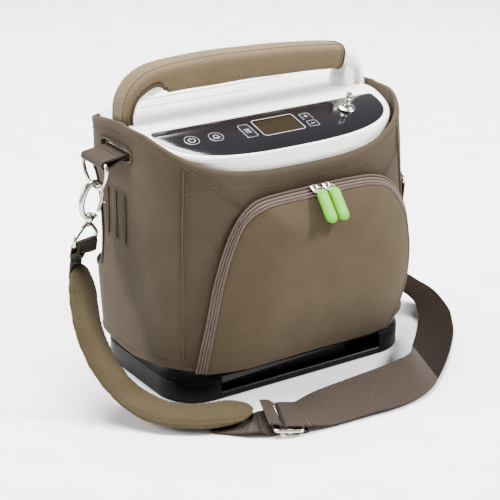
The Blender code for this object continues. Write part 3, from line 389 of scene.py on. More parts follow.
def bent(value, power):
    """A power that keeps the sign, for superellipses."""
    return math.copysign(abs(value) ** power, value)


def turned(profile, centre, axis, count=64, hollow=False, bm=None):
    """Revolve (radius, height) points about an axis; hollow profiles are closed loops."""
    turn = Vector((0, 0, 1)).rotation_difference(Vector(axis)).to_matrix()
    rings = [[Vector(centre) + turn @ Vector((radius * c, radius * s, height)) for c, s in around(count)]
             for radius, height in profile]
    return grid_mesh(rings, True, hollow, not hollow, bm)


def smooth_path(points, per_span=6, closed=False):
    """Catmull-Rom curve through the points."""
    knots = [Vector(p) for p in points]
    if closed:
        knots = [knots[-1], *knots, knots[0], knots[1]]
    else:
        knots = [2 * knots[0] - knots[1], *knots, 2 * knots[-1] - knots[-2]]
    path = []
    for a, b, c, d in zip(knots, knots[1:], knots[2:], knots[3:]):
        for step in range(per_span):
            t = step / per_span
            path.append(0.5 * (2 * b + (c - a) * t + (2 * a - 5 * b + 4 * c - d) * t ** 2
                               + (3 * b - a - 3 * c + d) * t ** 3))
    if not closed:
        path.append(knots[-2])
    return path


def tangents(path, closed=False):
    if closed:
        ahead, behind = [*path[1:], path[0]], [path[-1], *path[:-1]]
    else:
        ahead, behind = [*path[1:], path[-1]], [path[0], *path[:-1]]
    return [(b - a).normalized() for a, b in zip(behind, ahead)]


def wire_mesh(path, radius, count=16, closed=False, side=None, flat=1.0, bm=None):
    """Tube along a path; radius is a number or a function of the fraction, flat squashes it."""
    path = [Vector(p) for p in path]
    rings, u = [], None
    for i, (point, along) in enumerate(zip(path, tangents(path, closed))):
        axis = Vector(side) if side else u or along.orthogonal()
        u = (axis - along * axis.dot(along)).normalized()
        v = along.cross(u)
        size = radius(i / (len(path) - 1)) if callable(radius) else radius
        rings.append([point + size * (u * flat * c + v * s) for c, s in around(count)])
    return grid_mesh(rings, True, closed, not closed, bm)


def stepped(path, spacing, closed=False):
    """Points at an even spacing along a path, with their directions."""
    line = [Vector(p) for p in path]
    if closed:
        line.append(line[0])
    total = sum((b - a).length for a, b in zip(line, line[1:]))
    count = max(int(total / spacing), 1)
    gap, found, done, target = total / count, [], 0.0, 0.0
    for a, b in zip(line, line[1:]):
        length = (b - a).length
        while length and target <= done + length + 1e-9 and len(found) < count + (0 if closed else 1):
            found.append((a.lerp(b, (target - done) / length), (b - a).normalized()))
            target += gap
        done += length
    return found


def stitch_into(bm, path, outward, length=0.0027, spacing=0.0042, radius=0.00032, closed=False, lift=0.0):
    """A row of sewn stitches: short rounded threads that dip into the cloth at both ends."""
    for point, along in stepped(path, spacing, closed):
        out = outward(point) if callable(outward) else Vector(outward)
        out = (out - along * out.dot(along)).normalized()
        line = [point + along * length * s + out * (lift + radius * h) for s, h in
                ((-0.5, -0.9), (-0.36, 0.35), (0.0, 0.75), (0.36, 0.35), (0.5, -0.9))]
        wire_mesh(line, radius, 6, side=out, bm=bm)


def surface_tree(piece):
    """What rays are cast at, to lay stitches on a piece's surface."""
    return BVHTree.FromPolygons([v.co for v in piece.data.vertices],
                                [p.vertices[:] for p in piece.data.polygons])


def near_tree(points):
    tree = KDTree(len(points))
    for index, point in enumerate(points):
        tree.insert(point, index)
    tree.balance()
    return tree


def wander(point, scale, size):
    return noise.noise(Vector(point) * scale) * size


def super_ring(half_w, half_d, front_power, back_power, count):
    """Plan of a superellipse at even steps of its length, counter-clockwise from +X."""
    raw = []
    for c, s in around(900):
        power = back_power if s > 0 else front_power
        reach = (abs(c / half_w) ** power + abs(s / half_d) ** power) ** (-1 / power)
        raw.append((reach * c, reach * s))
    raw.append(raw[0])
    lengths = [0.0]
    for (ax, ay), (bx, by) in zip(raw, raw[1:]):
        lengths.append(lengths[-1] + math.hypot(bx - ax, by - ay))
    ring, k = [], 0
    for i in range(count):
        want = lengths[-1] * i / count
        while lengths[k + 1] < want:
            k += 1
        t = (want - lengths[k]) / (lengths[k + 1] - lengths[k])
        (ax, ay), (bx, by) = raw[k:k + 2]
        ring.append((ax + (bx - ax) * t, ay + (by - ay) * t))
    return ring


# ---------------------------------------------------------------- shapes shared with the CAD
BACK_POWER = 7.0                # squareness of the case's and the cover's back half


def case_dims(z):
    """Half width, half depth and squareness of the case's front half at a height."""
    rise = min(max((z - 0.03) / 0.19, 0.0), 1.0)
    swell = min(rise * 4, 1.0)
    return (CASE_HALF_WIDTH - 0.0022 * (1 - swell), CASE_HALF_DEPTH - 0.0026 * (1 - swell), 5.5 - 2.4 * rise)


def hem_height(x, y):
    lift = 0.0155 if y < 0 else 0.0065
    return 0.0245 + lift * abs(x / CASE_HALF_WIDTH) ** 3 * abs(y / CASE_HALF_DEPTH)


def rim_height(x, y):
    front = 0.2182 + 0.0105 * (abs(x) / 0.1) ** 2.2
    side = 0.2386 - (1.55 if y > -0.012 else 8.0) * (y + 0.012) ** 2
    return min(front, side) if y < 0 else side


def case_front_y(x, z):
    half_width, half_depth, power = case_dims(z)
    return -half_depth * max(1 - abs(x / half_width) ** power, 0.0) ** (1 / power)


def case_side_x(y, z, side):
    half_width, half_depth, power = case_dims(z)
    power = BACK_POWER if y > 0 else power
    return side * half_width * max(1 - abs(y / half_depth) ** power, 0.0) ** (1 / power)


def case_back_y(x, z):
    half_width, half_depth, _ = case_dims(z)
    return half_depth * max(1 - abs(x / half_width) ** BACK_POWER, 0.0) ** (1 / BACK_POWER)


def on_front(x, z):
    return Vector((x, case_front_y(x, z), z))


def on_side(y, z, side):
    return Vector((case_side_x(y, z, side), y, z))


def case_out(point):
    """Outward direction of the case's wall at a point on it."""
    half_w, half_d, power = case_dims(point.z)
    power = BACK_POWER if point.y > 0 else power
    slope_x, slope_y = bent(point.x / half_w, power - 1) / half_w, bent(point.y / half_d, power - 1) / half_d
    return Vector((slope_x, slope_y, 0)).normalized()


def panel_z(y):
    return PLATEAU + (y - PANEL_HINGE_Y) * PANEL_SLOPE


PANEL_NORMAL = Vector((0, -PANEL_SLOPE, 1)).normalized()
QUARTERS = ((1, 1), (-1, 1), (-1, -1), (1, -1))


def on_panel(x, y, height=0.0):
    return Vector((x, y, panel_z(y))) + PANEL_NORMAL * height


# ---------------------------------------------------------------- carry case
def case_grid(wall, count, drops, push=None):
    """Rows of the case's wall from hem to rim; drops are (share of the height, distance from an end)."""
    rows = []
    for rise in drops:
        half_w, half_d, power = case_dims(0.03 + 0.19 * rise)
        row = []
        for x, y in super_ring(half_w - wall, half_d - wall, power, BACK_POWER, count):
            low, high = hem_height(x, y), rim_height(x, y)
            point = Vector((x, y, low + (high - low) * rise))
            row.append(push(point, low, high) if push else point)
        rows.append(row)
    return rows


def case_skin(point, low, high):
    """Outer wall: bound hem and rim, soft folds, and a little pull at the strap slots."""
    below, above = high - point.z, point.z - low
    lift = 0.0
    for distance, band in ((below, 0.0072), (above, 0.0068)):
        if distance < band:
            lift += 0.0007 * math.sin(math.pi * min(distance / band + 0.12, 1.0))
        elif distance < band + 0.0026:
            lift -= 0.0006 * math.sin(math.pi * (distance - band) / 0.0026)
    away = min(below, above) / 0.02
    lift += min(away, 1.0) * (wander(point, 21.0, 0.0007) + wander(point, 52.0, 0.00035))
    slot = math.hypot((point.y - SLOT_Y) / 0.045, (point.z - SLOT_Z) / 0.02)
    lift += 0.0006 * math.exp(-slot ** 2) * math.cos(slot * 5.0)
    return point + case_out(point) * lift


def capsule(ends, radius_y, radius_z, start, steps):
    """Outline in Y and Z round two centres: half a turn at each, the first from the angle start."""
    return [(y + radius_y * c, z + radius_z * s) for k, (y, z) in enumerate(ends)
            for c, s in arc(start + math.pi * k, start + math.pi * (k + 1), steps)]


def punch(tools, outline, *xs):
    """Add to a cutting tool a solid along X, from its outline in Y and Z."""
    grid_mesh([[Vector((x, y, z)) for y, z in outline] for x in xs], True, False, True, tools)


def build_case():
    fine = [i * 0.0045 for i in range(8)]
    drops = fine + [0.036 + (0.964 - 0.036) * i / 44 for i in range(1, 44)] + [1 - v for v in fine[::-1]]
    outer = case_grid(0.0, 330, drops, case_skin)
    inner = case_grid(CASE_WALL, 330, [0.0, 0.3, 0.7, 1.0])

    def lip(a, b, sign):
        return [[p.lerp(q, t) + Vector((0, 0, sign * 0.0010 * math.sin(math.pi * t))) for p, q in zip(a, b)]
                for t in (0.15, 0.5, 0.85)]
    rows = outer + lip(outer[-1], inner[-1], 1) + inner[::-1] + lip(inner[0], outer[0], -1)
    case = made_object("case_shell", grid_mesh(rows, True, True), "case", None, 50.0)
    tools = bmesh.new()
    for xs in ((-0.145, -0.120), (0.120, 0.145)):
        punch(tools, capsule([(SLOT_Y - 0.0225, SLOT_Z), (SLOT_Y + 0.0225, SLOT_Z)],
                             0.0025, 0.0042, math.pi / 2, 8), *xs)
        for y in VENT_YS:
            punch(tools, capsule([(y, 0.1732), (y, 0.1323)], 0.0014, 0.0018, 0.0, 6), *xs)
    cut(case, tools)
    tools = bmesh.new()
    punch(tools, corner_outline() + [(0.11, 0.186), (0.11, 0.097)], -0.15, -0.066)
    box_into(tools, (-0.1185, 0.06, 0.0), (0.1185, 0.1, 0.039))
    cut(case, tools)
    claim(case, "carry_case", 50)


def corner_outline():
    """Front edge of the rear corner cut-out in Y and Z, rounded at its corners."""
    knots = [(0.110, 0.0970), (0.0640, 0.0930), (0.0540, 0.0950), (0.0480, 0.1020), (0.0448, 0.1180),
             (0.0440, 0.1350), (0.0455, 0.1520), (0.0485, 0.1680), (0.0540, 0.1800), (0.0640, 0.1842),
             (0.110, 0.1860)]
    return [(p.x, p.y) for p in smooth_path([(y, z, 0) for y, z in knots], 4)]


def corner_loop():
    """Edge of the cut-out on the outside of the case."""
    loop = [on_side(y, z, -1) for y, z in corner_outline() if y < 0.0795]
    top_z, low_z = loop[-1].z + 0.0006, loop[0].z + 0.0004
    xs = [-0.131, -0.129, -0.124, -0.116, -0.105, -0.093, -0.080, -0.069]
    back = [(x, top_z) for x in xs] + [(-0.066, top_z + (low_z - top_z) * i / 10) for i in range(11)]
    back += [(x, low_z) for x in xs[::-1]]
    return loop + [Vector((x, case_back_y(x, z), z)) for x, z in back]


CORNER_SEAM = ((0.1168, 0.042), (0.1175, 0.070), (0.1166, 0.099), (0.1150, 0.152), (0.1110, 0.2125))
POCKET_SEAMS = (((-0.1105, 0.2150), (-0.0960, 0.2030), (-0.0800, 0.1880), (-0.0665, 0.1765)),
                ((0.1105, 0.2150), (0.1075, 0.1934), (0.0985, 0.1830), (0.0890, 0.1750)))


def build_case_sewing():
    """Binding, piping and stitches that lie on the case."""
    dark, pale, piping = bmesh.new(), bmesh.new(), bmesh.new()
    for side, seam in zip((-1, 1), POCKET_SEAMS):
        # piping down the front corners, with a row of stitches on both sides of it
        corner = smooth_path([(side * x, 0, z) for x, z in CORNER_SEAM], 14)
        line = [on_front(p.x, p.z) for p in corner]
        wire_mesh([p + case_out(p) * 0.0002 for p in line], 0.0010, 10, bm=piping)
        for shift, thread in ((-0.00187, dark), (0.00187, pale)):
            stitch_into(thread, [on_front(p.x + shift, p.z) for p in corner], case_out, lift=0.0003)
        # double seam that runs down beside the pocket from the rim
        run = smooth_path([(x, 0, z) for x, z in seam], 10)
        for shift in (0.0, 0.0030):
            stitch_into(dark, [on_front(p.x, p.z + shift) for p in run], case_out, lift=0.0003)
        # strap slot, with a bound edge, and vents
        slot = (SLOT_Y, SLOT_Z, 0.0270, 0.0062, 0.75)
        vents = [(y, 0.15275, 0.0036, 0.0245, 0.30) for y in VENT_YS]
        for centre_y, centre_z, half_y, half_z, power in (slot, *vents):
            border = [on_side(centre_y + half_y * bent(c, 0.30), centre_z + half_z * bent(s, power), side)
                      for c, s in around(72)]
            if half_y > half_z:
                wire_mesh(border, 0.0015, 10, True, bm=piping)
                border = [on_side(centre_y + (p.y - centre_y) * 1.09,
                                  centre_z + (p.z - centre_z) * 1.42, side)
                          for p in border]
            stitch_into(dark, border, case_out, 0.0021, 0.0034, 0.00028, True, 0.0003)
    # rim and hem seams; the hem's stops on both sides of the battery's opening
    for share, height, shift in ((1.0, rim_height, -0.0100), (0.0, hem_height, 0.0098)):
        plan = super_ring(*case_dims(0.03 + 0.19 * share), BACK_POWER, 400)
        ring = [Vector((x, y, height(x, y) + shift)) for x, y in plan]
        if not share:
            ring = [p for p in ring if not (p.y > 0.06 and abs(p.x) < 0.118)]
            start = next(i for i, p in enumerate(ring) if p.x < -0.1 and p.y > 0.055)
            ring = ring[start:] + ring[:start]
        stitch_into(pale, ring, case_out, closed=bool(share), lift=0.0002)
    made_object("case_piping", piping, "binding")
    made_object("case_stitching", dark, "thread")
    made_object("case_edge_stitching", pale, "pale_thread")
    edge = smooth_path(corner_loop(), 2, True)
    made_object("cutout_binding", wire_mesh([p - case_out(p) * 0.0012 for p in edge], 0.0026, 12, True),
                "black")


# ---------------------------------------------------------------- pocket and zipper
POCKET_EDGE = (
    (-0.1090, 0.0310, 0.0022, 30), (-0.1045, 0.0550, 0.0025, 44), (-0.0985, 0.0850, 0.0030, 54),
    (-0.0925, 0.1120, 0.0030, 57), (-0.0835, 0.1400, 0.0030, 60), (-0.0730, 0.1620, 0.0030, 62),
    (-0.0610, 0.1755, 0.0030, 64), (-0.0450, 0.1815, 0.0030, 65), (0.0000, 0.1832, 0.0030, 66),
    (0.0400, 0.1832, 0.0030, 66), (0.0680, 0.1810, 0.0040, 62), (0.0860, 0.1740, 0.0060, 54),
    (0.0990, 0.1600, 0.0080, 48), (0.1085, 0.1400, 0.0105, 45), (0.1120, 0.1120, 0.0120, 45),
    (0.1105, 0.0850, 0.0110, 45), (0.1055, 0.0550, 0.0070, 42), (0.0985, 0.0310, 0.0030, 30),
)
POCKET_MIDDLE, GUSSET, POCKET_DEPTH, GROOVE = (0.0100, 0.1120), 0.0134, 0.0285, (0.0030, 0.0104)
POCKET_SPAN = 11                # stations from one point of the edge to the next


def pocket_stations():
    edge = smooth_path([(x, 0.0, z) for x, z, _, _ in POCKET_EDGE], POCKET_SPAN)
    shape = smooth_path([(step, slant, 0.0) for _, _, step, slant in POCKET_EDGE], POCKET_SPAN)
    stations = []
    for point, form in zip(edge, shape):
        reach = Vector((POCKET_MIDDLE[0], 0.0, min(point.z, POCKET_MIDDLE[1]))) - point
        turn = min(max((-0.052 - point.x) / 0.022, 0.0), 1.0)
        narrow = 1 - 0.40 * turn * turn * (3 - 2 * turn)
        stations.append((point, reach.normalized(), reach.length, form.x, math.radians(form.y), narrow))
    return stations


def pocket_point(station, travel, lift=0.0):
    edge, inward, reach, step, slant, narrow = station
    if travel <= GUSSET:
        inset, depth = travel * narrow * math.cos(slant), step + travel * narrow * math.sin(slant)
    else:
        first, rim = GUSSET * narrow * math.cos(slant), step + GUSSET * narrow * math.sin(slant)
        inset = min(first + travel - GUSSET, reach)
        low = min(max((edge.z - 0.031) / 0.06, 0.0), 1.0)
        share = min((inset - first) / 0.05, 1.0)
        full = 0.0125 + (POCKET_DEPTH - 0.0125) * low
        depth = rim + (full - rim) * (1 - (1 - share) ** 2)
    flat = edge + inward * inset
    point = Vector((flat.x, case_front_y(flat.x, flat.z) - depth, flat.z))
    return point + (Vector((0, -math.cos(slant), 0)) - inward * math.sin(slant)) * lift


def soft_point(station, travel):
    """The same point with the fold between gusset and front rounded off."""
    reach = 0.0016 * max(0.0, 1 - abs(travel - GUSSET) / 0.006)
    if reach:
        return (pocket_point(station, travel - reach) + pocket_point(station, travel + reach)) / 2
    return pocket_point(station, travel)


def pocket_skin(station, travel):
    """Front of the pocket with soft creases that run in from the corners."""
    point = soft_point(station, travel)
    share = min(max((travel - GUSSET) / 0.03, 0.0), 1.0)
    lift = share * (wander(point, 16.0, 0.0014) + wander(point, 44.0, 0.0005))
    return point + Vector((0, -1, 0)) * lift


def build_pocket():
    stations = pocket_stations()
    columns = [0.0, 0.0008, 0.0020, 0.0029, 0.0031, 0.0066, 0.0103, 0.0105, 0.0112, 0.0118, 0.0124, 0.0130,
               0.0136, 0.0143, 0.0152, 0.0165, 0.0185] + [0.0185 + 0.0034 * i for i in range(1, 33)] + [1.0]
    sunk = (0.0031, 0.0066, 0.0103)     # the bed of the zipper tape
    front, back = [], []
    for station in stations:
        edge, inward, reach = station[:3]
        front.append([pocket_point(station, t, -0.0016) if t in sunk else pocket_skin(station, t)
                      for t in columns])
        inner = [edge + inward * reach * s for s in (0.0, 0.1, 0.3, 0.6, 1.0)]
        back.append([Vector((p.x, case_front_y(p.x, p.z) - 0.0012, p.z)) for p in inner])
    bm = grid_mesh(front)
    grid_mesh(back, bm=bm)
    grid_mesh([[row[0] for row in front], [row[0] for row in back]], bm=bm)
    # the underside closes the two open ends, from the front's lower edge to the back's
    low = [*front[0], *front[-1][-2::-1]]
    high = [*back[0], *back[-1][-2::-1]]
    spread = []
    for i in range(len(low)):
        share = i / (len(low) - 1) * (len(high) - 1)
        k = min(int(share), len(high) - 2)
        spread.append(high[k].lerp(high[k + 1], share - k))
    under = []
    for t in (0.0, 0.25, 0.5, 0.75, 1.0):
        sag = Vector((0, 0, 0.0016 * math.sin(math.pi * min(t * 1.6, 1.0))))
        under.append([p.lerp(q, t) - sag for p, q in zip(low, spread)])
    grid_mesh(under, bm=bm)
    bmesh.ops.remove_doubles(bm, verts=bm.verts, dist=2e-5)
    pocket = made_object("pocket_bag", bm, "pocket", angle=60.0, replaces=("front_pocket",))

    # zipper: two raised tapes with a coil between them, and piping on both sides
    first, width = GROOVE[0] + GAP, GROOVE[1] - GROOVE[0] - 2 * GAP
    tape_line = [(0.44 * i / 12, 0.0002 + 0.0009 * math.sin(math.pi * i / 12) ** 0.8) for i in range(1, 12)]
    shape = [(0.0, -0.0012), (0.0, 0.0002), *tape_line, (0.445, -0.0003), (0.47, -0.0004), (0.5, 0.0002),
             (0.53, -0.0004), (0.555, -0.0003), *[(0.56 + u, h) for u, h in tape_line],
             (1.0, 0.0002), (1.0, -0.0012)]
    rows = [[pocket_point(s, first + width * u, h) for u, h in shape] for s in stations]
    made_object("zipper_tape", grid_mesh(rows, True, False, True), "zipper", replaces=("pocket_zipper",))
    piping = bmesh.new()
    for travel, lift, radius in ((0.0012, 0.0003, 0.0012), (0.0121, 0.0002, 0.0010)):
        wire_mesh([pocket_point(s, travel, lift) for s in stations], radius, 12, bm=piping)
    made_object("pocket_piping", piping, "piping")


# ---------------------------------------------------------------- zip sliders and pulls
def slab_rings(middle, along, normal, half_x, start, end, low, high, corner, soft, power=2.6):
    """A rounded slab: superellipse plan with softened upper and lower edges."""
    centre, straight = (start + end) / 2, (end - start) / 2 - corner
    levels = [(low, soft), (low + soft * 0.3, soft * 0.3), (low + soft, 0.0), (high - soft, 0.0),
              (high - soft * 0.3, soft * 0.3), (high, soft)]
    rings = []
    for height, inset in levels:
        ring = []
        for c, s in around(72):
            u = (half_x - inset) * bent(c, 2 / power)
            v = centre + math.copysign(straight, s) + (corner - inset) * bent(s, 2 / power)
            ring.append(middle + Vector((u, 0, 0)) + along * v + normal * height)
        rings.append(ring)
    return rings


def build_sliders():
    step, slant, pull_angle = 0.0030, math.radians(66), math.radians(50.5)
    travel = sum(GROOVE) / 2
    out = Vector((0, -math.cos(slant), math.sin(slant)))
    down = Vector((0, -math.sin(slant), -math.cos(slant)))
    along = Vector((0, -math.cos(pull_angle), -math.sin(pull_angle)))
    normal = Vector((0, -math.sin(pull_angle), math.cos(pull_angle)))
    for label, x in (("left", 0.0020), ("right", 0.0145)):
        z = 0.1832 - travel * math.cos(slant)
        seat = Vector((x, case_front_y(x, z) - step - travel * math.sin(slant), z))
        body = slab_rings(seat, down, out, 0.0043, -0.0048, 0.0048, 0.0018, 0.0040, 0.0030, 0.0007)
        body = grid_mesh(body, True, False, True)
        arch = [seat + down * v + out * h
                for v, h in ((-0.0036, 0.0038), (-0.0030, 0.0052), (-0.0010, 0.0062),
                                                       (0.0014, 0.0066), (0.0034, 0.0060), (0.0042, 0.0040))]
        wire_mesh(smooth_path(arch, 6), 0.00062, 12, side=(1, 0, 0), flat=1.7, bm=body)
        made_object(f"zip_slider_body_{label}", body, "nickel", f"zip_{label}",
                    replaces=(f"zip_slider_{label}",))
        hinge = seat + out * 0.0074 + down * 0.0030
        loop = [hinge + Vector((u, 0, 0)) + along * v + normal * h for u, v, h in
                ((-0.0022, 0.0003, 0.0001), (0.0022, 0.0003, 0.0001), (0.0030, 0.0028, 0.0009),
                 (0.0026, 0.0060, 0.0012), (-0.0026, 0.0060, 0.0012), (-0.0030, 0.0028, 0.0009))]
        link = wire_mesh(smooth_path(loop, 6, True), 0.0005, 10, True)
        made_object(f"zip_link_{label}", link, "nickel", f"pull_{label}")
        slab = slab_rings(hinge, along, normal, 0.0056, 0.0030, 0.0340, 0.0002, 0.0032, 0.0056, 0.0013, 2.1)
        top = slab[-1]
        centre = sum(top, Vector()) / len(top)
        for share, rise in ((0.70, 0.0003), (0.30, 0.0004)):
            slab.append([centre + (p - centre) * share + normal * rise for p in top])
        made_object(f"zip_pull_tab_{label}", grid_mesh(slab, True, False, True), "green", f"pull_{label}",
                    replaces=(f"zip_pull_{label}",))


# ---------------------------------------------------------------- handle
HANDLE = (
    (-0.1215, 0.2330, 0.0030, 0.0108, 0.0060, 0.0142), (-0.1215, 0.2430, 0.0030, 0.0108, 0.0060, 0.0142),
    (-0.1175, 0.2550, 0.0040, 0.0108, 0.0075, 0.0142), (-0.1070, 0.2640, 0.0062, 0.0108, 0.0102, 0.0142),
    (-0.0920, 0.2682, 0.0085, 0.0110, 0.0125, 0.0145), (-0.0550, 0.2697, 0.0098, 0.0110, 0.0140, 0.0147),
    (0.0000, 0.2692, 0.0098, 0.0110, 0.0138, 0.0147), (0.0550, 0.2668, 0.0090, 0.0110, 0.0129, 0.0145),
    (0.0900, 0.2640, 0.0082, 0.0110, 0.0120, 0.0142), (0.1030, 0.2620, 0.0076, 0.0110, 0.0114, 0.0140),
    (0.1118, 0.2572, 0.0088, 0.0118, 0.0, 0.0), (0.1146, 0.2480, 0.0124, 0.0128, 0.0, 0.0),
    (0.1142, 0.2395, 0.0148, 0.0138, 0.0, 0.0), (0.1138, 0.2322, 0.0160, 0.0145, 0.0, 0.0),
)
HANDLE_Y = 0.0193


def handle_stations(rows, column):
    """Points of the handle's line, with their outward directions and two half sizes."""
    path = smooth_path([(r[0], HANDLE_Y, r[1]) for r in rows], 9)
    sizes = smooth_path([(r[column], r[column + 1], 0) for r in rows], 9)
    return [(p, a.cross(Vector((0, 1, 0))), s.x, s.y) for p, a, s in zip(path, tangents(path), sizes)]


SQUARE = 0.62                   # power that squares off the handle's round section
SCOOP = ((0.1062, 0.2372), (0.1048, 0.2400), (0.1046, 0.2470), (0.1052, 0.2536), (0.1078, 0.2556),
         (0.1130, 0.2546),
         (0.1172, 0.2520), (0.1192, 0.2480), (0.1202, 0.2410), (0.1196, 0.2358), (0.1172, 0.2342),
         (0.1110, 0.2354))


def ramp_left(x, start, width):
    """0 to the right of start, rising to 1 over width to its left."""
    return min(max((start - x) / width, 0.0), 1.0)


def build_handle():
    rings = []
    for point, out, thick, wide in handle_stations(HANDLE, 2):
        web = 0.0052 * ramp_left(point.x, -0.0815, 0.016)
        rings.append([point + out * ((thick + (web if c < 0 else 0.0)) * bent(c, SQUARE))
                      + Vector((0, wide * bent(s, SQUARE), 0)) for c, s in around(72, 0.5)])
    bar = made_object("handle_bar", grid_mesh(rings, True, False, True), "white", replaces=("carry_handle",))
    scoop = smooth_path([(x, 0, z) for x, z in SCOOP], 4, True)
    hollow = [[Vector((p.x, y, p.z)) for p in scoop] for y in (-0.010, HANDLE_Y - 0.0098)]
    cut(bar, grid_mesh(hollow, True, False, True))
    sharpen(bar, 35)

    # padded wrap: round the bar, and drawn back to show it inside the left arch
    stations, bars = [handle_stations(HANDLE[:10], column) for column in (4, 2)]
    rings, edges, top_lines = [], ([], []), ([], [])
    for i, ((point, out, thick, wide), (_, _, bar_thick, bar_wide)) in enumerate(zip(stations, bars)):
        open_share = ramp_left(point.x, -0.0825, 0.012) ** 0.7
        cover = 1 - 0.90 * open_share
        end = min(i, len(stations) - 1 - i)
        swell = (1 + 0.010 * math.sin(i * 0.55) + 0.012 * noise.noise(point * 60))
        swell *= 1 - 0.10 * max(0.0, 1 - end / 2.5)
        ring = []
        for c, s in around(72, 0.5):
            u, v = thick * bent(c, SQUARE) * swell, wide * bent(s, SQUARE) * swell
            if c < 0 and u < -thick * cover:
                u, v = -bar_thick * 0.45, math.copysign(min(abs(v), bar_wide * 0.8), v)
            ring.append(point + out * u + Vector((0, v, 0)))
        rings.append(ring)
        across = Vector((0, wide * swell, 0))
        if open_share > 0.02:
            for edge, sign in zip(edges, (-1, 1)):
                edge.append(point - out * thick * cover * swell
                            + across * (sign * (1 - cover ** 1.6) ** SQUARE))
        for line, share in zip(top_lines, (-0.62, 0.62)):
            line.append(point + out * thick * swell * 0.985 + across * share)
    wrap = made_object("handle_sleeve", grid_mesh(rings, True, False, True), "wrap",
                       angle=50.0, replaces=("handle_wrap",))
    binding = wire_mesh(smooth_path((edges[0] + edges[1][::-1])[::2], 3), 0.0016, 12)
    cuff = rings[-3]
    middle = sum(cuff, Vector()) / len(cuff)
    wire_mesh([p + (p - middle).normalized() * 0.0001 for p in cuff], 0.0010, 10, True, bm=binding)
    made_object("handle_binding", binding, "binding")
    tree = surface_tree(wrap)
    stitches = bmesh.new()
    for line in top_lines:
        found = []
        for point in line:
            if point.x > -0.112:
                hit = tree.ray_cast(point + Vector((0, 0, 0.03)), Vector((0, 0, -1)))
            else:
                hit = tree.ray_cast(point + Vector((-0.03, 0, 0.012)), Vector((1, 0, -0.4)).normalized())
            if hit[0]:
                found.append(hit[0])
        stitch_into(stitches, found, lambda p: Vector((-0.5 if p.x < -0.112 else 0, 0, 1)),
                    0.0026, 0.0040, 0.0003,
                    lift=0.0002)
    stitch_into(stitches, rings[-6], lambda p: p - Vector((p.x, HANDLE_Y, 0.262)),
                0.0022, 0.0036, 0.0003, True, 0.0002)
    made_object("handle_stitching", stitches, "thread")


# ---------------------------------------------------------------- white cover and controls
def panel_outline(grow=0.0):
    """Outline of the control panel: a rounded front, and a straight back with small corners."""
    half, depth = PANEL_HALF_WIDTH + grow, PANEL_HINGE_Y - PANEL_FRONT_Y + grow
    power, step, back = 2 / 2.7, 0.004, PANEL_HINGE_Y + grow - 0.0040
    points = [(half * bent(c, power), PANEL_HINGE_Y - step - (depth - step) * abs(s) ** power)
              for c, s in arc(0, math.pi, 96)]
    points += [(step - half + step * c, back + 0.0036 * s) for c, s in arc(math.pi, math.pi / 2, 6)[1:]]
    return points + [(half - step + step * c, back + 0.0036 * s) for c, s in arc(math.pi / 2, 0, 6)[:-1]]


def prism(levels, bm=None):
    """Solid on the panel plane from (outline, height) levels."""
    return grid_mesh([[on_panel(x, y, h) for x, y in outline] for outline, h in levels],
                     True, False, True, bm)


def cover_z(y):
    """Top of the cover: the flat plateau rolls softly down into the panel's slope."""
    start, end = PANEL_HINGE_Y + 0.0012, 0.0000
    if y <= start:
        return panel_z(y)
    t = min((y - start) / (end - start), 1.0)
    return panel_z(start) + PANEL_SLOPE * (end - start) * (t - t * t / 2)


GROOVES = ((0.0250, 0.0460, 0.0474), (0.0750, 0.0674, 0.0698))     # right end, near and far edge


def build_cover():
    plan = [super_ring(HOUSING_HALF_WIDTH + grow, HOUSING_HALF_DEPTH + grow, 2.9, BACK_POWER, 300)
            for grow in (0.0, 0.0004)]
    rows = [[Vector((x, y, z)) for x, y in plan[0]] for z in (0.2063, 0.2100, 0.2140, 0.2175)]
    radius = 0.0042
    for c, s in arc(0, math.pi / 2, 8):
        row = []
        for x, y in plan[1]:
            share = 1 - radius * (1 - c) / math.hypot(x, y)
            row.append(Vector((x * share, y * share, cover_z(y * share) - radius * (1 - s))))
        rows.append(row)
    edge = rows[-1]
    for share in [1 - 0.018 * i for i in range(1, 9)] + [0.80 - 0.05 * i for i in range(16)]:
        rows.append([Vector((p.x * share, p.y * share, cover_z(p.y * share))) for p in edge])
    # close the underside a little inside the wall
    rows.insert(0, [Vector((p.x * 0.97, p.y * 0.965, p.z)) for p in rows[0]])
    rows.insert(0, [Vector((p.x, p.y, min(cover_z(p.y) - 0.004, 0.2250))) for p in rows[0]])
    cover = made_object("cover_shell", grid_mesh(rows, True, False, True), "white", None, 30.0)
    levels = ((0.0, -RECESS_DEPTH), (0.0, -0.0006), (0.0002, -0.0002), (0.0008, 0.0001), (0.0009, 0.02))
    cut(cover, prism([(panel_outline(grow), height) for grow, height in levels]))
    grooves, groove_shade = bmesh.new(), bmesh.new()
    for end_x, near, far in GROOVES:
        box_into(grooves, (-0.1080, near, 0.2310), (end_x, far, 0.3))
        # Painted shade: a dark brown strip fills each groove up to 0.3 mm under the surface.
        corners = ((-0.1079, near + 0.0001), (end_x - 0.0001, near + 0.0001),
                   (end_x - 0.0001, far - 0.0001), (-0.1079, far - 0.0001))
        top = cover_z((near + far) / 2) - 0.0003
        grid_mesh([[Vector((x, y, z)) for x, y in corners] for z in (0.2306, top)], True, False, True, groove_shade)
    cut(cover, grooves)
    made_object("cover_groove_shade", groove_shade, "thread")
    claim(cover, "top_cover", 30)


BUTTONS = (
    ("power_button", "power_key", -0.0875, -0.0372, 0.0072, 0.0072, 0.0070),
    ("alert_button", "alert_key", -0.0643, -0.0384, 0.0072, 0.0072, 0.0070),
    ("menu_button", "menu_key", -0.0325, -0.0388, 0.0060, 0.0108, 0.0028),
    ("plus_button", "plus_key", 0.0315, -0.0334, 0.0055, 0.0052, 0.0022),
    ("minus_button", "minus_key", 0.0315, -0.0452, 0.0055, 0.0052, 0.0022),
)
STRETCH = 1 / math.hypot(1, PANEL_SLOPE)
DISPLAY = (0.0, -0.0375, 0.0205, 0.0118, 0.0020)


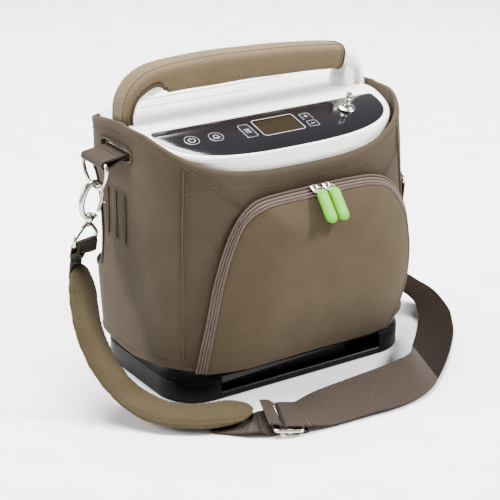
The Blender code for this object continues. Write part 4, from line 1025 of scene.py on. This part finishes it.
def key_outline(x, y, half_w, half_d, corner, grow=0.0):
    """Rounded rectangle on the panel, of that size along its slope."""
    half_w, half_d, corner = half_w + grow, half_d + grow, max(corner + grow, 0.0002)
    return [(x + sx * (half_w - corner) + corner * c, y + (sy * (half_d - corner) + corner * s) * STRETCH)
            for quarter, (sx, sy) in enumerate(QUARTERS)
            for c, s in arc(math.pi / 2 * quarter, math.pi / 2 * (quarter + 1), 12)]


def flat_line(bm, points, width, height, closed=False, thick=0.00005):
    """A printed line of that width along (x, y) points on the panel."""
    path = [on_panel(x, y, height) for x, y in points]
    rows = []
    for point, along in zip(path, tangents(path, closed)):
        side = along.cross(PANEL_NORMAL).normalized() * width / 2
        rise = PANEL_NORMAL * thick
        rows.append([point - side, point + side, point + side + rise, point - side + rise])
    grid_mesh(rows, True, closed, not closed, bm)


def circle(x, y, radius, start, end, steps=40):
    return [(x + radius * c, y + radius * s * STRETCH)
            for c, s in arc(math.radians(start), math.radians(end), steps)]


def marks(node, x, y):
    """Generic signs on the keys, as (points, width of the line)."""
    if node == "power_button":
        return [(circle(x, y, 0.0030, 118, 422), 0.00055), ([(x, y + 0.0012), (x, y + 0.0040)], 0.00055)]
    if node == "alert_button":
        bell = ((-0.0030, -0.0016), (-0.0022, -0.0008), (-0.0020, 0.0012), (-0.0010, 0.0026))
        bell = [(x + u, y + v) for u, v in bell] + [(x - u, y + v) for u, v in bell[::-1]]
        return [(bell, 0.00045), ([(x - 0.0033, y - 0.0018), (x + 0.0033, y - 0.0018)], 0.00045),
                (circle(x, y - 0.0024, 0.0009, 190, 350, 12), 0.0005)]
    if node == "menu_button":
        return [([(x - 0.0026, y + v), (x + 0.0026, y + v)], 0.00055) for v in (-0.0024, 0.0, 0.0024)]
    lines = [([(x - 0.0022, y), (x + 0.0022, y)], 0.0005)]
    return lines + [([(x, y - 0.0021), (x, y + 0.0021)], 0.0005)] * (node == "plus_button")


NIPPLE = ((0.0076, 0.0), (0.0079, 0.0004), (0.0079, 0.0011), (0.0075, 0.0015), (0.0062, 0.0018),
          (0.0050, 0.0024),
          (0.0040, 0.0036), (0.0031, 0.0050), (0.0027, 0.0062), (0.0026, 0.0088), (0.0032, 0.0095),
          (0.0032, 0.0100),
          (0.0026, 0.0114), (0.0026, 0.0126), (0.0032, 0.0134), (0.0032, 0.0139), (0.0024, 0.0157),
          (0.0021, 0.0160),
          (0.0015, 0.0160), (0.0013, 0.0156), (0.0013, 0.0020))


def build_panel():
    top = PANEL_THICK - RECESS_DEPTH + 0.0002
    levels = ((0.0, GAP - RECESS_DEPTH), (0.0, top - 0.0006), (0.0002, top - 0.0002), (0.0006, top))
    panel = made_object("panel_plate", prism([(panel_outline(-GAP - inset), height)
                                              for inset, height in levels]),
                        "panel", None, 30.0)
    tools = bmesh.new()
    for place, depth in [(row[2:], 0.0013) for row in BUTTONS] + [(DISPLAY, 0.0012)]:
        prism([(key_outline(*place, GAP), height) for height in (top - depth, 0.01)], tools)
    cut(panel, tools)
    claim(panel, "control_panel", 30)

    for node, body, *place in BUTTONS:
        x, y, _, half_d, _ = place
        levels = ((0.0, -0.0007), (0.0, 0.0001), (-0.0002, 0.0004), (-0.0006, 0.0005), (-0.0014, 0.00053))
        cap = prism([(key_outline(*place, grow), top + height) for grow, height in levels])
        made_object(node.replace("button", "keycap"), cap, "key", body, 30.0, (node,))
        ink, face = bmesh.new(), top + 0.00052
        line, open_below = key_outline(*place, -0.0007), node == "plus_button"
        if open_below:
            line = [(line[0][0], y - half_d * STRETCH), *line[:26], (line[25][0], y - half_d * STRETCH)]
        flat_line(ink, line, 0.00026, face, not open_below)
        for rise, (points, width) in enumerate(marks(node, x, y)):
            flat_line(ink, points, width, face + rise * 0.00001 * open_below)
        made_object(node.replace("button", "icon"), ink, "ink", body, 30.0)

    glass = [(key_outline(*DISPLAY, grow), top + height)
             for grow, height in ((0.0, -0.0010), (0.0, -0.0007), (-0.0003, -0.0005))]
    made_object("display_window", prism(glass), "lcd", ROOT, 30.0, ("lcd_display",))
    ink = bmesh.new()
    flat_line(ink, key_outline(*DISPLAY, 0.0009), 0.00050, top, True, 0.0001)
    made_object("display_frame", ink, "ink", ROOT, 30.0)
    nipple = turned(NIPPLE, on_panel(0.0765, -0.0331, top + 0.0003), PANEL_NORMAL)
    made_object("outlet_nipple", nipple, "nickel", ROOT, 40.0, ("outlet_barb",))


# ---------------------------------------------------------------- foot frame
def rounded_plan(half_w, half_d, corner, z):
    """Rounded rectangle at a height, with points along its straight sides too."""
    ring = []
    for quarter, (sx, sy) in enumerate(QUARTERS):
        turn = [Vector((sx * (half_w - corner) + corner * c, sy * (half_d - corner) + corner * s, z))
                for c, s in arc(math.pi / 2 * quarter, math.pi / 2 * (quarter + 1), 18)]
        ring += [ring[-1].lerp(turn[0], k / 16) for k in range(1, 16)] if ring else []
        ring += turn
    return ring + [ring[-1].lerp(ring[0], k / 16) for k in range(1, 16)]


BASE_LEVELS = (                 # height, and how far the wall stands in
    (0.0, 0.0014), (0.0004, 0.0005), (0.0012, 0.0), (0.0192, 0.0), (0.0199, 0.0003), (0.0204, 0.0010),
    (0.0208, 0.0011),
    (0.0214, 0.0008), (0.0222, 0.0012), (0.0245, 0.0027), (0.0290, 0.0036), (0.0350, 0.0041),
    (0.0400, 0.0045))


def build_base():
    rows = [rounded_plan(0.127 - inset, 0.0765 - inset, 0.0376 - inset, z) for z, inset in BASE_LEVELS]
    base = made_object("foot_shell", grid_mesh(rows, True, False, True), "black", None, 30.0)
    # battery bay, the opening above it, and the hand recess with its deeper right end
    tools = [bmesh.new() for _ in range(3)]
    box_into(tools[0], (-0.114, -0.060, 0.004), (0.114, 0.1, 0.0372))
    box_into(tools[1], (-0.1, -0.048, 0.03), (0.1, 0.062, 0.05))
    mouth = [[Vector((x, y, z)) for y, z in
              ((-0.1, 0.0212), (-0.1, 0.0057), (-depth, 0.0067), (-depth - 0.0008, 0.0202))]
             for x, depth in ((-0.0842, 0.0720), (-0.0830, 0.0690), (-0.0300, 0.0690), (0.0880, 0.0690))]
    grid_mesh(mouth, True, False, True, tools[1])
    box_into(tools[2], (0.054, -0.1, 0.0067), (0.0865, -0.060, 0.0206))
    for tool in tools:
        cut(base, tool)
    claim(base, "base_frame", 30)
    # shelf that tapers along the recess, and a lip along its lower edge
    shelf = []
    for i in range(13):
        x, taper = -0.0828 + 0.142 * i / 12, 1 - i / 12
        shelf.append([Vector((x, y, z)) for y, z in (
            (-0.0742 - 0.0014 * taper, 0.0210), (-0.0700, 0.0210), (-0.0700, 0.0202 - 0.0044 * taper),
            (-0.0740 - 0.0012 * taper, 0.0200 - 0.0050 * taper))])
    lip = grid_mesh(shelf, True, False, True)
    wire_mesh([(-0.0832 + 0.0142 * i, -0.0760, 0.0060) for i in range(13)], 0.0008, 12, bm=lip)
    made_object("foot_recess_rib", lip, "rib")


# ---------------------------------------------------------------- fittings on each side
LOOP_AXIS, EYE_WIRE = (0.1530, 0.2070), 0.0016
HOOK_TOP, HOOK_FOOT = Vector((0.1532, SLOT_Y, 0.1875)), Vector((0.1612, SLOT_Y, 0.1535))
EYE_WIDTH = {-1: Vector((0.80, 0.58, 0.0)), 1: Vector((0.0, -1.0, 0.0))}


def square_to(vector, axis):
    """The unit vector nearest to a vector at right angles to a unit axis."""
    return (vector - axis * vector.dot(axis)).normalized()


def hook_frame(side):
    """The snap hook's foot, its axis, and its outward and its eye's crosswise directions."""
    foot, top = [Vector((side * p.x, p.y, p.z)) for p in (HOOK_FOOT, HOOK_TOP)]
    up = (top - foot).normalized()
    return foot, up, square_to(Vector((side, 0, 0)), up), square_to(EYE_WIDTH[side], up)


def tape_section(half, thin):
    """Across-and-through points of woven tape with thicker, rounded selvedges."""
    upper = [(-half, 0.0), (-half * 0.985, thin * 0.85), (-half * 0.94, thin), (-half * 0.88, thin * 0.86)]
    upper += [(half * 0.88 * (i / 4), thin * (0.86 + 0.06 * (1 - abs(i / 4)))) for i in range(-3, 4)]
    upper += [(half * 0.88, thin * 0.86), (half * 0.94, thin), (half * 0.985, thin * 0.85), (half, 0.0)]
    return upper + [(u, -v) for u, v in upper[-2:0:-1]]


def ribbon_frames(stations):
    """Point, crosswise and through direction at each (point, width) station."""
    frames = []
    for (point, width), along in zip(stations, tangents([s[0] for s in stations])):
        width = square_to(width, along)
        frames.append((point, width, along.cross(width)))
    return frames


def tape(name, node, stations):
    section = tape_section(WEBBING_WIDTH / 2, WEBBING_THICK / 2 * 0.92)
    rows = [[point + width * u + through * v for u, v in section]
            for point, width, through in ribbon_frames(stations)]
    made = made_object(name, grid_mesh(rows, True, False, True), "webbing", angle=50.0, replaces=(node,))
    return made


# outward and upward from the hook's foot
HUB = ((0.0030, -0.0002), (0.0037, 0.0002), (0.0040, 0.0012), (0.0042, 0.0026), (0.0040, 0.0040),
       (0.0034, 0.0052),
       (0.0028, 0.0056), (0.0019, 0.0055), (0.0019, 0.0))
HOOK = ((0.0026, 0.0026), (0.0060, 0.0052), (0.0084, 0.0092), (0.0098, 0.0160), (0.0085, 0.0255),
        (0.0045, 0.0325),
        (-0.0010, 0.0345), (-0.0060, 0.0322), (-0.0082, 0.0275))
HOOK_EAR = ((-0.0026, 0.0030), (-0.0046, 0.0044), (-0.0064, 0.0064))
HOOK_GATE = ((-0.0076, 0.0090), (-0.0086, 0.0150), (-0.0090, 0.0200), (-0.0088, 0.0264))
GATE_KNOB = ((-0.0095, 0.0180), (-0.0112, 0.0182), (-0.0122, 0.0182))
STEM = ((0.0014, -0.0050), (0.0014, 0.0057), (0.0025, 0.0060), (0.0029, 0.0064), (0.0029, 0.0069),
        (0.0024, 0.0074))
COLLAR = ((0.0022, -0.0046), (0.0028, -0.0040), (0.0028, -0.0020), (0.0022, -0.0012))
# share of the eye's half width, and height
EYE = ((-0.20, -0.0028), (0.20, -0.0028), (0.60, -0.0070), (1.0, -0.0130), (1.0, -0.0175), (0.93, -0.0200),
       (0.5, -0.0200), (0.0, -0.0200), (-0.5, -0.0200), (-0.93, -0.0200), (-1.0, -0.0175), (-1.0, -0.0130),
       (-0.60, -0.0070))


def build_tab(side, label, threads):
    """Webbing out of the case's slot, round the ring's straight bar and back."""
    x_axis, z_axis = LOOP_AXIS
    radius = RING_WIRE + 0.0004 + WEBBING_THICK / 2
    line = [(0.1285, SLOT_Z), (0.1340, SLOT_Z + 0.0001), (0.1440, SLOT_Z - 0.0013)]
    line += [(x_axis + radius * c, z_axis + radius * s) for c, s in arc(math.pi / 2, -math.pi / 2, 14)]
    line += [(0.1470, z_axis - radius * 0.60), (0.1400, SLOT_Z - 0.0040),
             (0.1340, SLOT_Z - 0.0023), (0.1285, SLOT_Z - 0.0023)]
    stations = [(Vector((side * x, SLOT_Y, z)), Vector((0, 1, 0))) for x, z in line]
    tape(f"ring_tab_{label}", f"strap_tab_{label}", stations)
    seam = [Vector((side * 0.1400, SLOT_Y + 0.008 * i, 0.2128)) for i in range(-2, 3)]
    stitch_into(threads, seam, (0, 0, 1), 0.0024, 0.0036, 0.0003, lift=0.0002)


def build_fittings():
    threads = bmesh.new()
    for side, label in ((-1, "left"), (1, "right")):
        build_tab(side, label, threads)
        x_axis, z_axis = LOOP_AXIS
        half = 0.0215
        points = [(-half * t, 0.0) for t in (-0.90, -0.6, -0.3, 0.0, 0.3, 0.6, 0.90)]
        points += [(-half * c, -0.0035 - half * s) for c, s in arc(0, math.pi, 32)]
        points = smooth_path([(side * x_axis, SLOT_Y + y, z_axis + z) for y, z in points], 2, True)
        made_object(f"dee_{label}", wire_mesh(points, RING_WIRE, 16, True, (1, 0, 0)), "nickel",
                    f"ring_{label}", replaces=(f"d_ring_{label}",))

        foot, up, out, across = hook_frame(side)

        def line(points, per_span):
            return smooth_path([foot + out * u + up * v for u, v in points], per_span)
        hook = turned(HUB, foot, up, 40, True)
        wire_mesh(line(HOOK, 8), lambda t: 0.0022 + 0.0006 * math.sin(math.pi * t)
                            - 0.0004 * max(0, t - 0.85) / 0.15,
                  18, side=(0, 1, 0), bm=hook)
        wire_mesh(line(HOOK_EAR, 5), lambda t: 0.0021 - 0.0002 * t, 14, bm=hook)
        made_object(f"clip_{label}", hook, "nickel", f"hook_{label}", replaces=(f"snap_hook_{label}",))
        gate = wire_mesh(line(HOOK_GATE, 6), lambda t: 0.0015 + 0.0002 * math.sin(math.pi * t), 14)
        wire_mesh(line(GATE_KNOB, 1), lambda t: 0.0009 + 0.0005 * t, 12, bm=gate)
        made_object(f"clip_gate_{label}", gate, "nickel", f"gate_{label}", replaces=(f"hook_gate_{label}",))

        eye = turned(STEM, foot, up, 32)
        arms = smooth_path([foot + across * u * 0.0212 + up * v for u, v in EYE], 5, True)
        wire_mesh(arms, EYE_WIRE, 16, True, up.cross(across), bm=eye)
        turned(COLLAR, foot, up, 28, bm=eye)
        made_object(f"swivel_{label}", eye, "nickel", replaces=(f"swivel_eye_{label}",))
    made_object("tab_stitching", threads, "pale_thread")


# ---------------------------------------------------------------- shoulder strap
PAD_ROUTE = (
    ((-0.1700, 0.0090, 0.1190), (0.80, 0.58, -0.10)), ((-0.1785, -0.0050, 0.1000), (0.82, 0.56, -0.10)),
    ((-0.1835, -0.0200, 0.0780), (0.83, 0.52, -0.20)), ((-0.1825, -0.0330, 0.0550), (0.83, 0.54, -0.20)),
    ((-0.1765, -0.0460, 0.0350), (0.80, 0.58, -0.15)), ((-0.1680, -0.0600, 0.0205), (0.76, 0.65, -0.08)),
    ((-0.1580, -0.0760, 0.0125), (0.70, 0.71, 0.0)), ((-0.1450, -0.0925, 0.0092), (0.62, 0.78, 0.0)),
    ((-0.1240, -0.1080, 0.0090), (0.48, 0.87, 0.0)), ((-0.1035, -0.1170, 0.0102), (0.30, 0.95, 0.0)),
    ((-0.0800, -0.1215, 0.0126), (0.15, 0.98, 0.0)),
)
LINK_ROUTE = (
    ((-0.1115, -0.1128, 0.0013), (0.75, 0.66, 0.0)), ((-0.1040, -0.1213, 0.0015), (0.75, 0.66, 0.0)),
    ((-0.0960, -0.1300, 0.0026), (0.65, 0.75, -0.02)), ((-0.0885, -0.1368, 0.0048), (0.45, 0.89, -0.05)),
)
MAIN_ROUTE = (
    ((-0.0280, -0.1560, 0.0108), (0.10, 0.89, 0.44)),
    ((0.0046, -0.1591, 0.0140), (0.00, 0.84, 0.54)), ((0.0380, -0.1630, 0.0170), (-0.14, 0.68, 0.72)),
    ((0.0690, -0.1590, 0.0190), (-0.28, 0.46, 0.84)), ((0.0940, -0.1394, 0.0190), (-0.40, 0.57, 0.72)),
    ((0.1239, -0.1106, 0.0160), (-0.66, 0.42, 0.58)), ((0.1576, -0.0742, 0.0120), (-0.87, 0.15, 0.42)),
    ((0.1729, -0.0527, 0.0120), (-0.94, 0.02, 0.32)), ((0.1826, -0.0355, 0.0132), (-0.96, -0.05, 0.24)),
    ((0.1843, -0.0170, 0.0185), (-0.96, -0.18, 0.14)), ((0.1780, -0.0040, 0.0245), (-0.86, -0.42, 0.12)),
    ((0.1712, 0.0040, 0.0350), (-0.69, -0.69, 0.17)), ((0.1672, 0.0100, 0.0590), (-0.35, -0.93, 0.05)),
    ((0.1655, 0.0135, 0.0980), (0.0, -1.0, 0.0)),
)
SLIDER_CENTRE = Vector((-0.0660, -0.1465, 0.0076))
SLIDER_ALONG = Vector((0.93, -0.34, -0.10)).normalized()
SLIDER_ACROSS = Vector((0.30, 0.93, 0.10))
SLIDER_FRAME = ((-1, -0.90), (-0.72, -1), (0.0, -1), (0.72, -1), (1, -0.90), (1, -0.45), (1, 0.0),
                (1, 0.45), (1, 0.90),
                (0.72, 1), (0.0, 1), (-0.72, 1), (-1, 0.90), (-1, 0.45), (-1, 0.0), (-1, -0.45))
FOLD_POINT, FOLD_NORMAL = Vector((0.0886, -0.1461, 0.0170)), Vector((0.760, -0.270, 0.590)).normalized()


def smooth_stations(stations, per_span=4):
    return list(zip(*[smooth_path([s[k] for s in stations], per_span) for k in (0, 1)]))


def fold(bar, across, up, through, bar_radius, tail):
    """Stations of webbing that comes up, turns round a bar and goes back down."""
    radius = bar_radius + 0.0004 + WEBBING_THICK / 2
    line = [bar - through * radius - up * tail * share for share in (1.0, 0.8, 0.6, 0.4, 0.25)]
    line += [bar + through * radius * c + up * radius * s for c, s in arc(math.pi, 0, 16)]
    return [(point, across) for point in (*line, bar + through * radius - up * 0.0030)]


def swollen(piece, voxel, cap):
    """Fill a padded piece with air by cloth simulation, and hold every point within cap."""
    remesh = piece.modifiers.new("remesh", "REMESH")
    remesh.mode, remesh.voxel_size, remesh.use_smooth_shade = "VOXEL", voxel, True
    settled(piece)
    before = [v.co.copy() for v in piece.data.vertices]
    cloth = piece.modifiers.new("cloth", "CLOTH")
    cloth.settings.use_pressure = True
    cloth.settings.uniform_pressure_force = 4.0
    cloth.settings.effector_weights.gravity = 0.0
    cloth.settings.tension_stiffness = cloth.settings.compression_stiffness = 40.0
    cloth.settings.bending_stiffness = 1.5
    cloth.point_cache.frame_start, cloth.point_cache.frame_end = 1, 20
    for frame_number in range(1, 21):
        bpy.context.scene.frame_set(frame_number)
    graph = bpy.context.evaluated_depsgraph_get()
    result = bpy.data.meshes.new_from_object(piece.evaluated_get(graph))
    piece.modifiers.clear()
    if len(result.vertices) == len(before):
        for vertex, start in zip(result.vertices, before):
            move = vertex.co - start
            if move.length > cap:
                vertex.co = start + move * (cap / move.length)
        piece.data = result
    bpy.context.scene.frame_set(1)
    smooth = bmesh.new()
    smooth.from_mesh(piece.data)
    for _ in range(5):
        bmesh.ops.smooth_vert(smooth, verts=smooth.verts, factor=0.5,
                              use_axis_x=True, use_axis_y=True, use_axis_z=True)
    smooth.to_mesh(piece.data)
    smooth.free()
    step = piece.modifiers.new("subdivide", "SUBSURF")
    step.levels = step.render_levels = 1
    settled(piece)
    sharpen(piece, None)


def build_pad():
    stations = smooth_stations(PAD_ROUTE, 8)
    last = len(stations) - 1
    rows, seams = [], ([], [])
    for i, (point, width, through) in enumerate(ribbon_frames(stations)):
        taper = min(i, last - i) / last / 0.10
        half = 0.0220 * (1.0 if taper > 1 else max(0.28, math.sqrt(1 - (1 - taper) ** 2))) - 0.0006
        thick = 0.0050 * (1.0 if taper > 1 else 0.55 + 0.45 * taper) - 0.0005
        rows.append([point + width * half * bent(c, 0.55) + through * thick * bent(s, 0.75)
                     for c, s in around(28)])
        if 2 < i < last - 2:
            inset = max(half - 0.0052, 0.0022)
            for seam, u in zip(seams, (-inset, inset)):
                seam.append((point + width * u, through))
    pad = made_object("shoulder_cushion", grid_mesh(rows, True, False, True), "pad", None, 0)
    swollen(pad, 0.0030, 0.0012)
    claim(pad, "shoulder_pad")
    # press the sewn seam in along both edges, and lay its stitches in the groove
    line = [*seams[0], *seams[1]]
    tree = near_tree([point for point, _ in line])
    for vertex in pad.data.vertices:
        start, through = line[tree.find(vertex.co)[1]]
        offset = vertex.co - start
        height = offset.dot(through)
        away = (offset - through * height).length
        vertex.co -= through * math.copysign(0.0008 * math.exp(-(away / 0.0016) ** 2), height)
    tree = surface_tree(pad)
    stitches = bmesh.new()
    for sign in (1, -1):
        loop = []
        for point, through in (*seams[0], *seams[1][::-1]):
            hit = tree.ray_cast(point + through * 0.02 * sign, -through * sign, 0.04)
            if hit[0]:
                loop.append((hit[0], through * sign))

        def outward(point, found=loop):
            return min(found, key=lambda item: (item[0] - point).length)[1]
        stitch_into(stitches, [point for point, _ in loop], outward, 0.0030, 0.0046, 0.00036, True, 0.0001)
    made_object("shoulder_stitching", stitches, "thread")


def shade_past_turn(piece, stations, point, normal):
    """Painted shade on the webbing: a darker copy of its material goes underneath up to a crisp turn, and on
    its outer side beyond it, so the loop past the turn looks shaded.
    """
    frames = ribbon_frames(stations)
    tree = near_tree([place for place, _, _ in frames])
    bm = bmesh.new()
    bm.from_mesh(piece.data)
    middles = [(f, f.calc_center_median()) for f in bm.faces]
    near = [f for f, middle in middles if abs((middle - point).dot(normal)) < 0.02 and middle.y < -0.03]
    parts = {e for f in near for e in f.edges} | {v for f in near for v in f.verts} | set(near)
    bmesh.ops.bisect_plane(bm, geom=list(parts), plane_co=point, plane_no=normal, dist=1e-6)
    piece.data.materials.append(LOOKS["webbing_shade"])
    bm.normal_update()
    for face in bm.faces:
        middle = face.calc_center_median()
        shown = face.normal.dot(frames[tree.find(middle)[1]][2]) > 0
        beyond = (middle - point).dot(normal) > 0
        # painted shade: these faces take the darker webbing copy
        if middle.x > 0.0 and shown == beyond:
            face.material_index = 1
    bm.to_mesh(piece.data)
    bm.free()
    sharpen(piece, 50)


TOP_ROUTE = (((-0.1722, 0.0150, 0.1255), (0.72, 0.69, -0.05)),
             ((-0.1765, 0.0128, 0.1160), (0.66, 0.75, -0.10)),
             ((-0.1812, 0.0080, 0.1040), (0.62, 0.77, -0.12)))


def build_strap():
    foot, up, _, across = hook_frame(-1)
    start = fold(foot - up * 0.0200, across, up, across.cross(up), EYE_WIRE, 0.0110)
    tail = [(start[-1][0], across), (start[-1][0] - up * 0.0040, across), *TOP_ROUTE]
    tape("strap_top", "strap_end", [*start[:-1], *smooth_stations(tail)])

    centre, along = SLIDER_CENTRE, SLIDER_ALONG
    across = square_to(SLIDER_ACROSS, along)
    normal = along.cross(across).normalized()
    loop = fold(centre - along * 0.0115, across, along, -normal, 0.0040, 0.0060)
    loop = loop[:-1] + smooth_stations([loop[-1], *LINK_ROUTE[::-1]], 8)
    tape("strap_loop", "strap_link", loop)

    start = fold(centre, across, -along, normal, 0.0014, 0.0180)[:-1]
    top_ply = [(centre + along * reach + normal * 0.0029, across) for reach in (0.0090, 0.0160)]
    foot, up, _, eye_across = hook_frame(1)
    end = fold(foot - up * 0.0200, eye_across, up, up.cross(eye_across), EYE_WIRE, 0.0110)[::-1]
    stations = [*start, top_ply[0], *smooth_stations([top_ply[1], *MAIN_ROUTE, end[0]], 14), *end[1:]]
    main = tape("strap_main", "strap_webbing", stations)
    shade_past_turn(main, stations, FOLD_POINT, FOLD_NORMAL)

    side = across * 0.0215
    rim = smooth_path([centre + along * u * 0.0120 + side * v for u, v in SLIDER_FRAME], 5, True)
    ring = wire_mesh(rim, 0.0016, 16, True, normal)
    wire_mesh([centre - side, centre, centre + side], 0.0014, 16, side=along, bm=ring)
    wire_mesh([centre - side - along * 0.0018, centre - side + along * 0.0018],
              0.0024, 16, side=normal, bm=ring)
    made_object("strap_adjuster", ring, "nickel", replaces=("strap_slider",))


# ---------------------------------------------------------------- carried-over CAD nodes
CARRIED = {
    "black": "battery_case battery_lid fan_frame intake_grille exhaust_grille",
    "cells": "cell_pack_left cell_pack_right",
    "board": "battery_board control_board",
    "grey": "battery_connector battery_latch compressor_motor fan_rotor power_inlet",
    "aluminium": "chassis_plate compressor_crankcase cylinder_head_front cylinder_head_rear sieve_bed_left "
                 "sieve_bed_right valve_manifold",
    "nickel": "compressor_shaft",
    "white": "product_tank front_housing rear_housing",
    "foam": "intake_filter",
}


def finish_nodes():
    for look, nodes in CARRIED.items():
        for node in nodes.split():
            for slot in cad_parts[node].material_slots:
                slot.link = "OBJECT"
                slot.material = LOOKS[look]


# ---------------------------------------------------------------- floor, light and camera
WORLD = 0.36
LIGHTS = (
    ("key_light", (1.55, -1.15, 1.85), 0.6, 145.0),
    ("left_light", (-1.9, 0.6, 1.1), 1.0, 46.0),
    ("top_light", (0.0, 0.6, 2.6), 1.8, 350.0),
)


def aimed(name, data, place, target):
    """Add a light or camera at a place, pointing at a target."""
    made = bpy.data.objects.new(name, data)
    made.location = place
    made.rotation_euler = (Vector(target) - Vector(place)).to_track_quat("-Z", "Y").to_euler()
    bpy.context.scene.collection.objects.link(made)
    return made


def build_stage():
    steps = [-4.0 + 0.5 * i for i in range(17)]
    rows = [[Vector((x, y, -0.0002)) for x in steps] for y in steps]
    floor = made_object("studio_floor", grid_mesh(rows), "floor", None, 0)
    if floor.data.polygons[0].normal.z < 0:
        floor.data.flip_normals()
    world = bpy.data.worlds.new("studio")
    world.use_nodes = True
    background = world.node_tree.nodes["Background"].inputs
    background["Color"].default_value, background["Strength"].default_value = (1.0, 1.0, 1.0, 1.0), WORLD
    bpy.context.scene.world = world
    for name, place, size, power in LIGHTS:
        light = bpy.data.lights.new(name, "AREA")
        light.shape, light.size, light.energy = "DISK", size, power
        aimed(name, light, place, (0, 0, 0.1))
    camera = bpy.data.cameras.new("camera")
    camera.lens, camera.sensor_width = 114.16, 36.0
    bpy.context.scene.camera = aimed("camera", camera, (-0.7390, -1.1351, 0.6295), (-0.00508, 0.0, 0.0981))


build_base()
build_case()
build_case_sewing()
build_pocket()
build_sliders()
build_cover()
build_panel()
build_handle()
build_fittings()
build_pad()
build_strap()
finish_nodes()
build_stage()
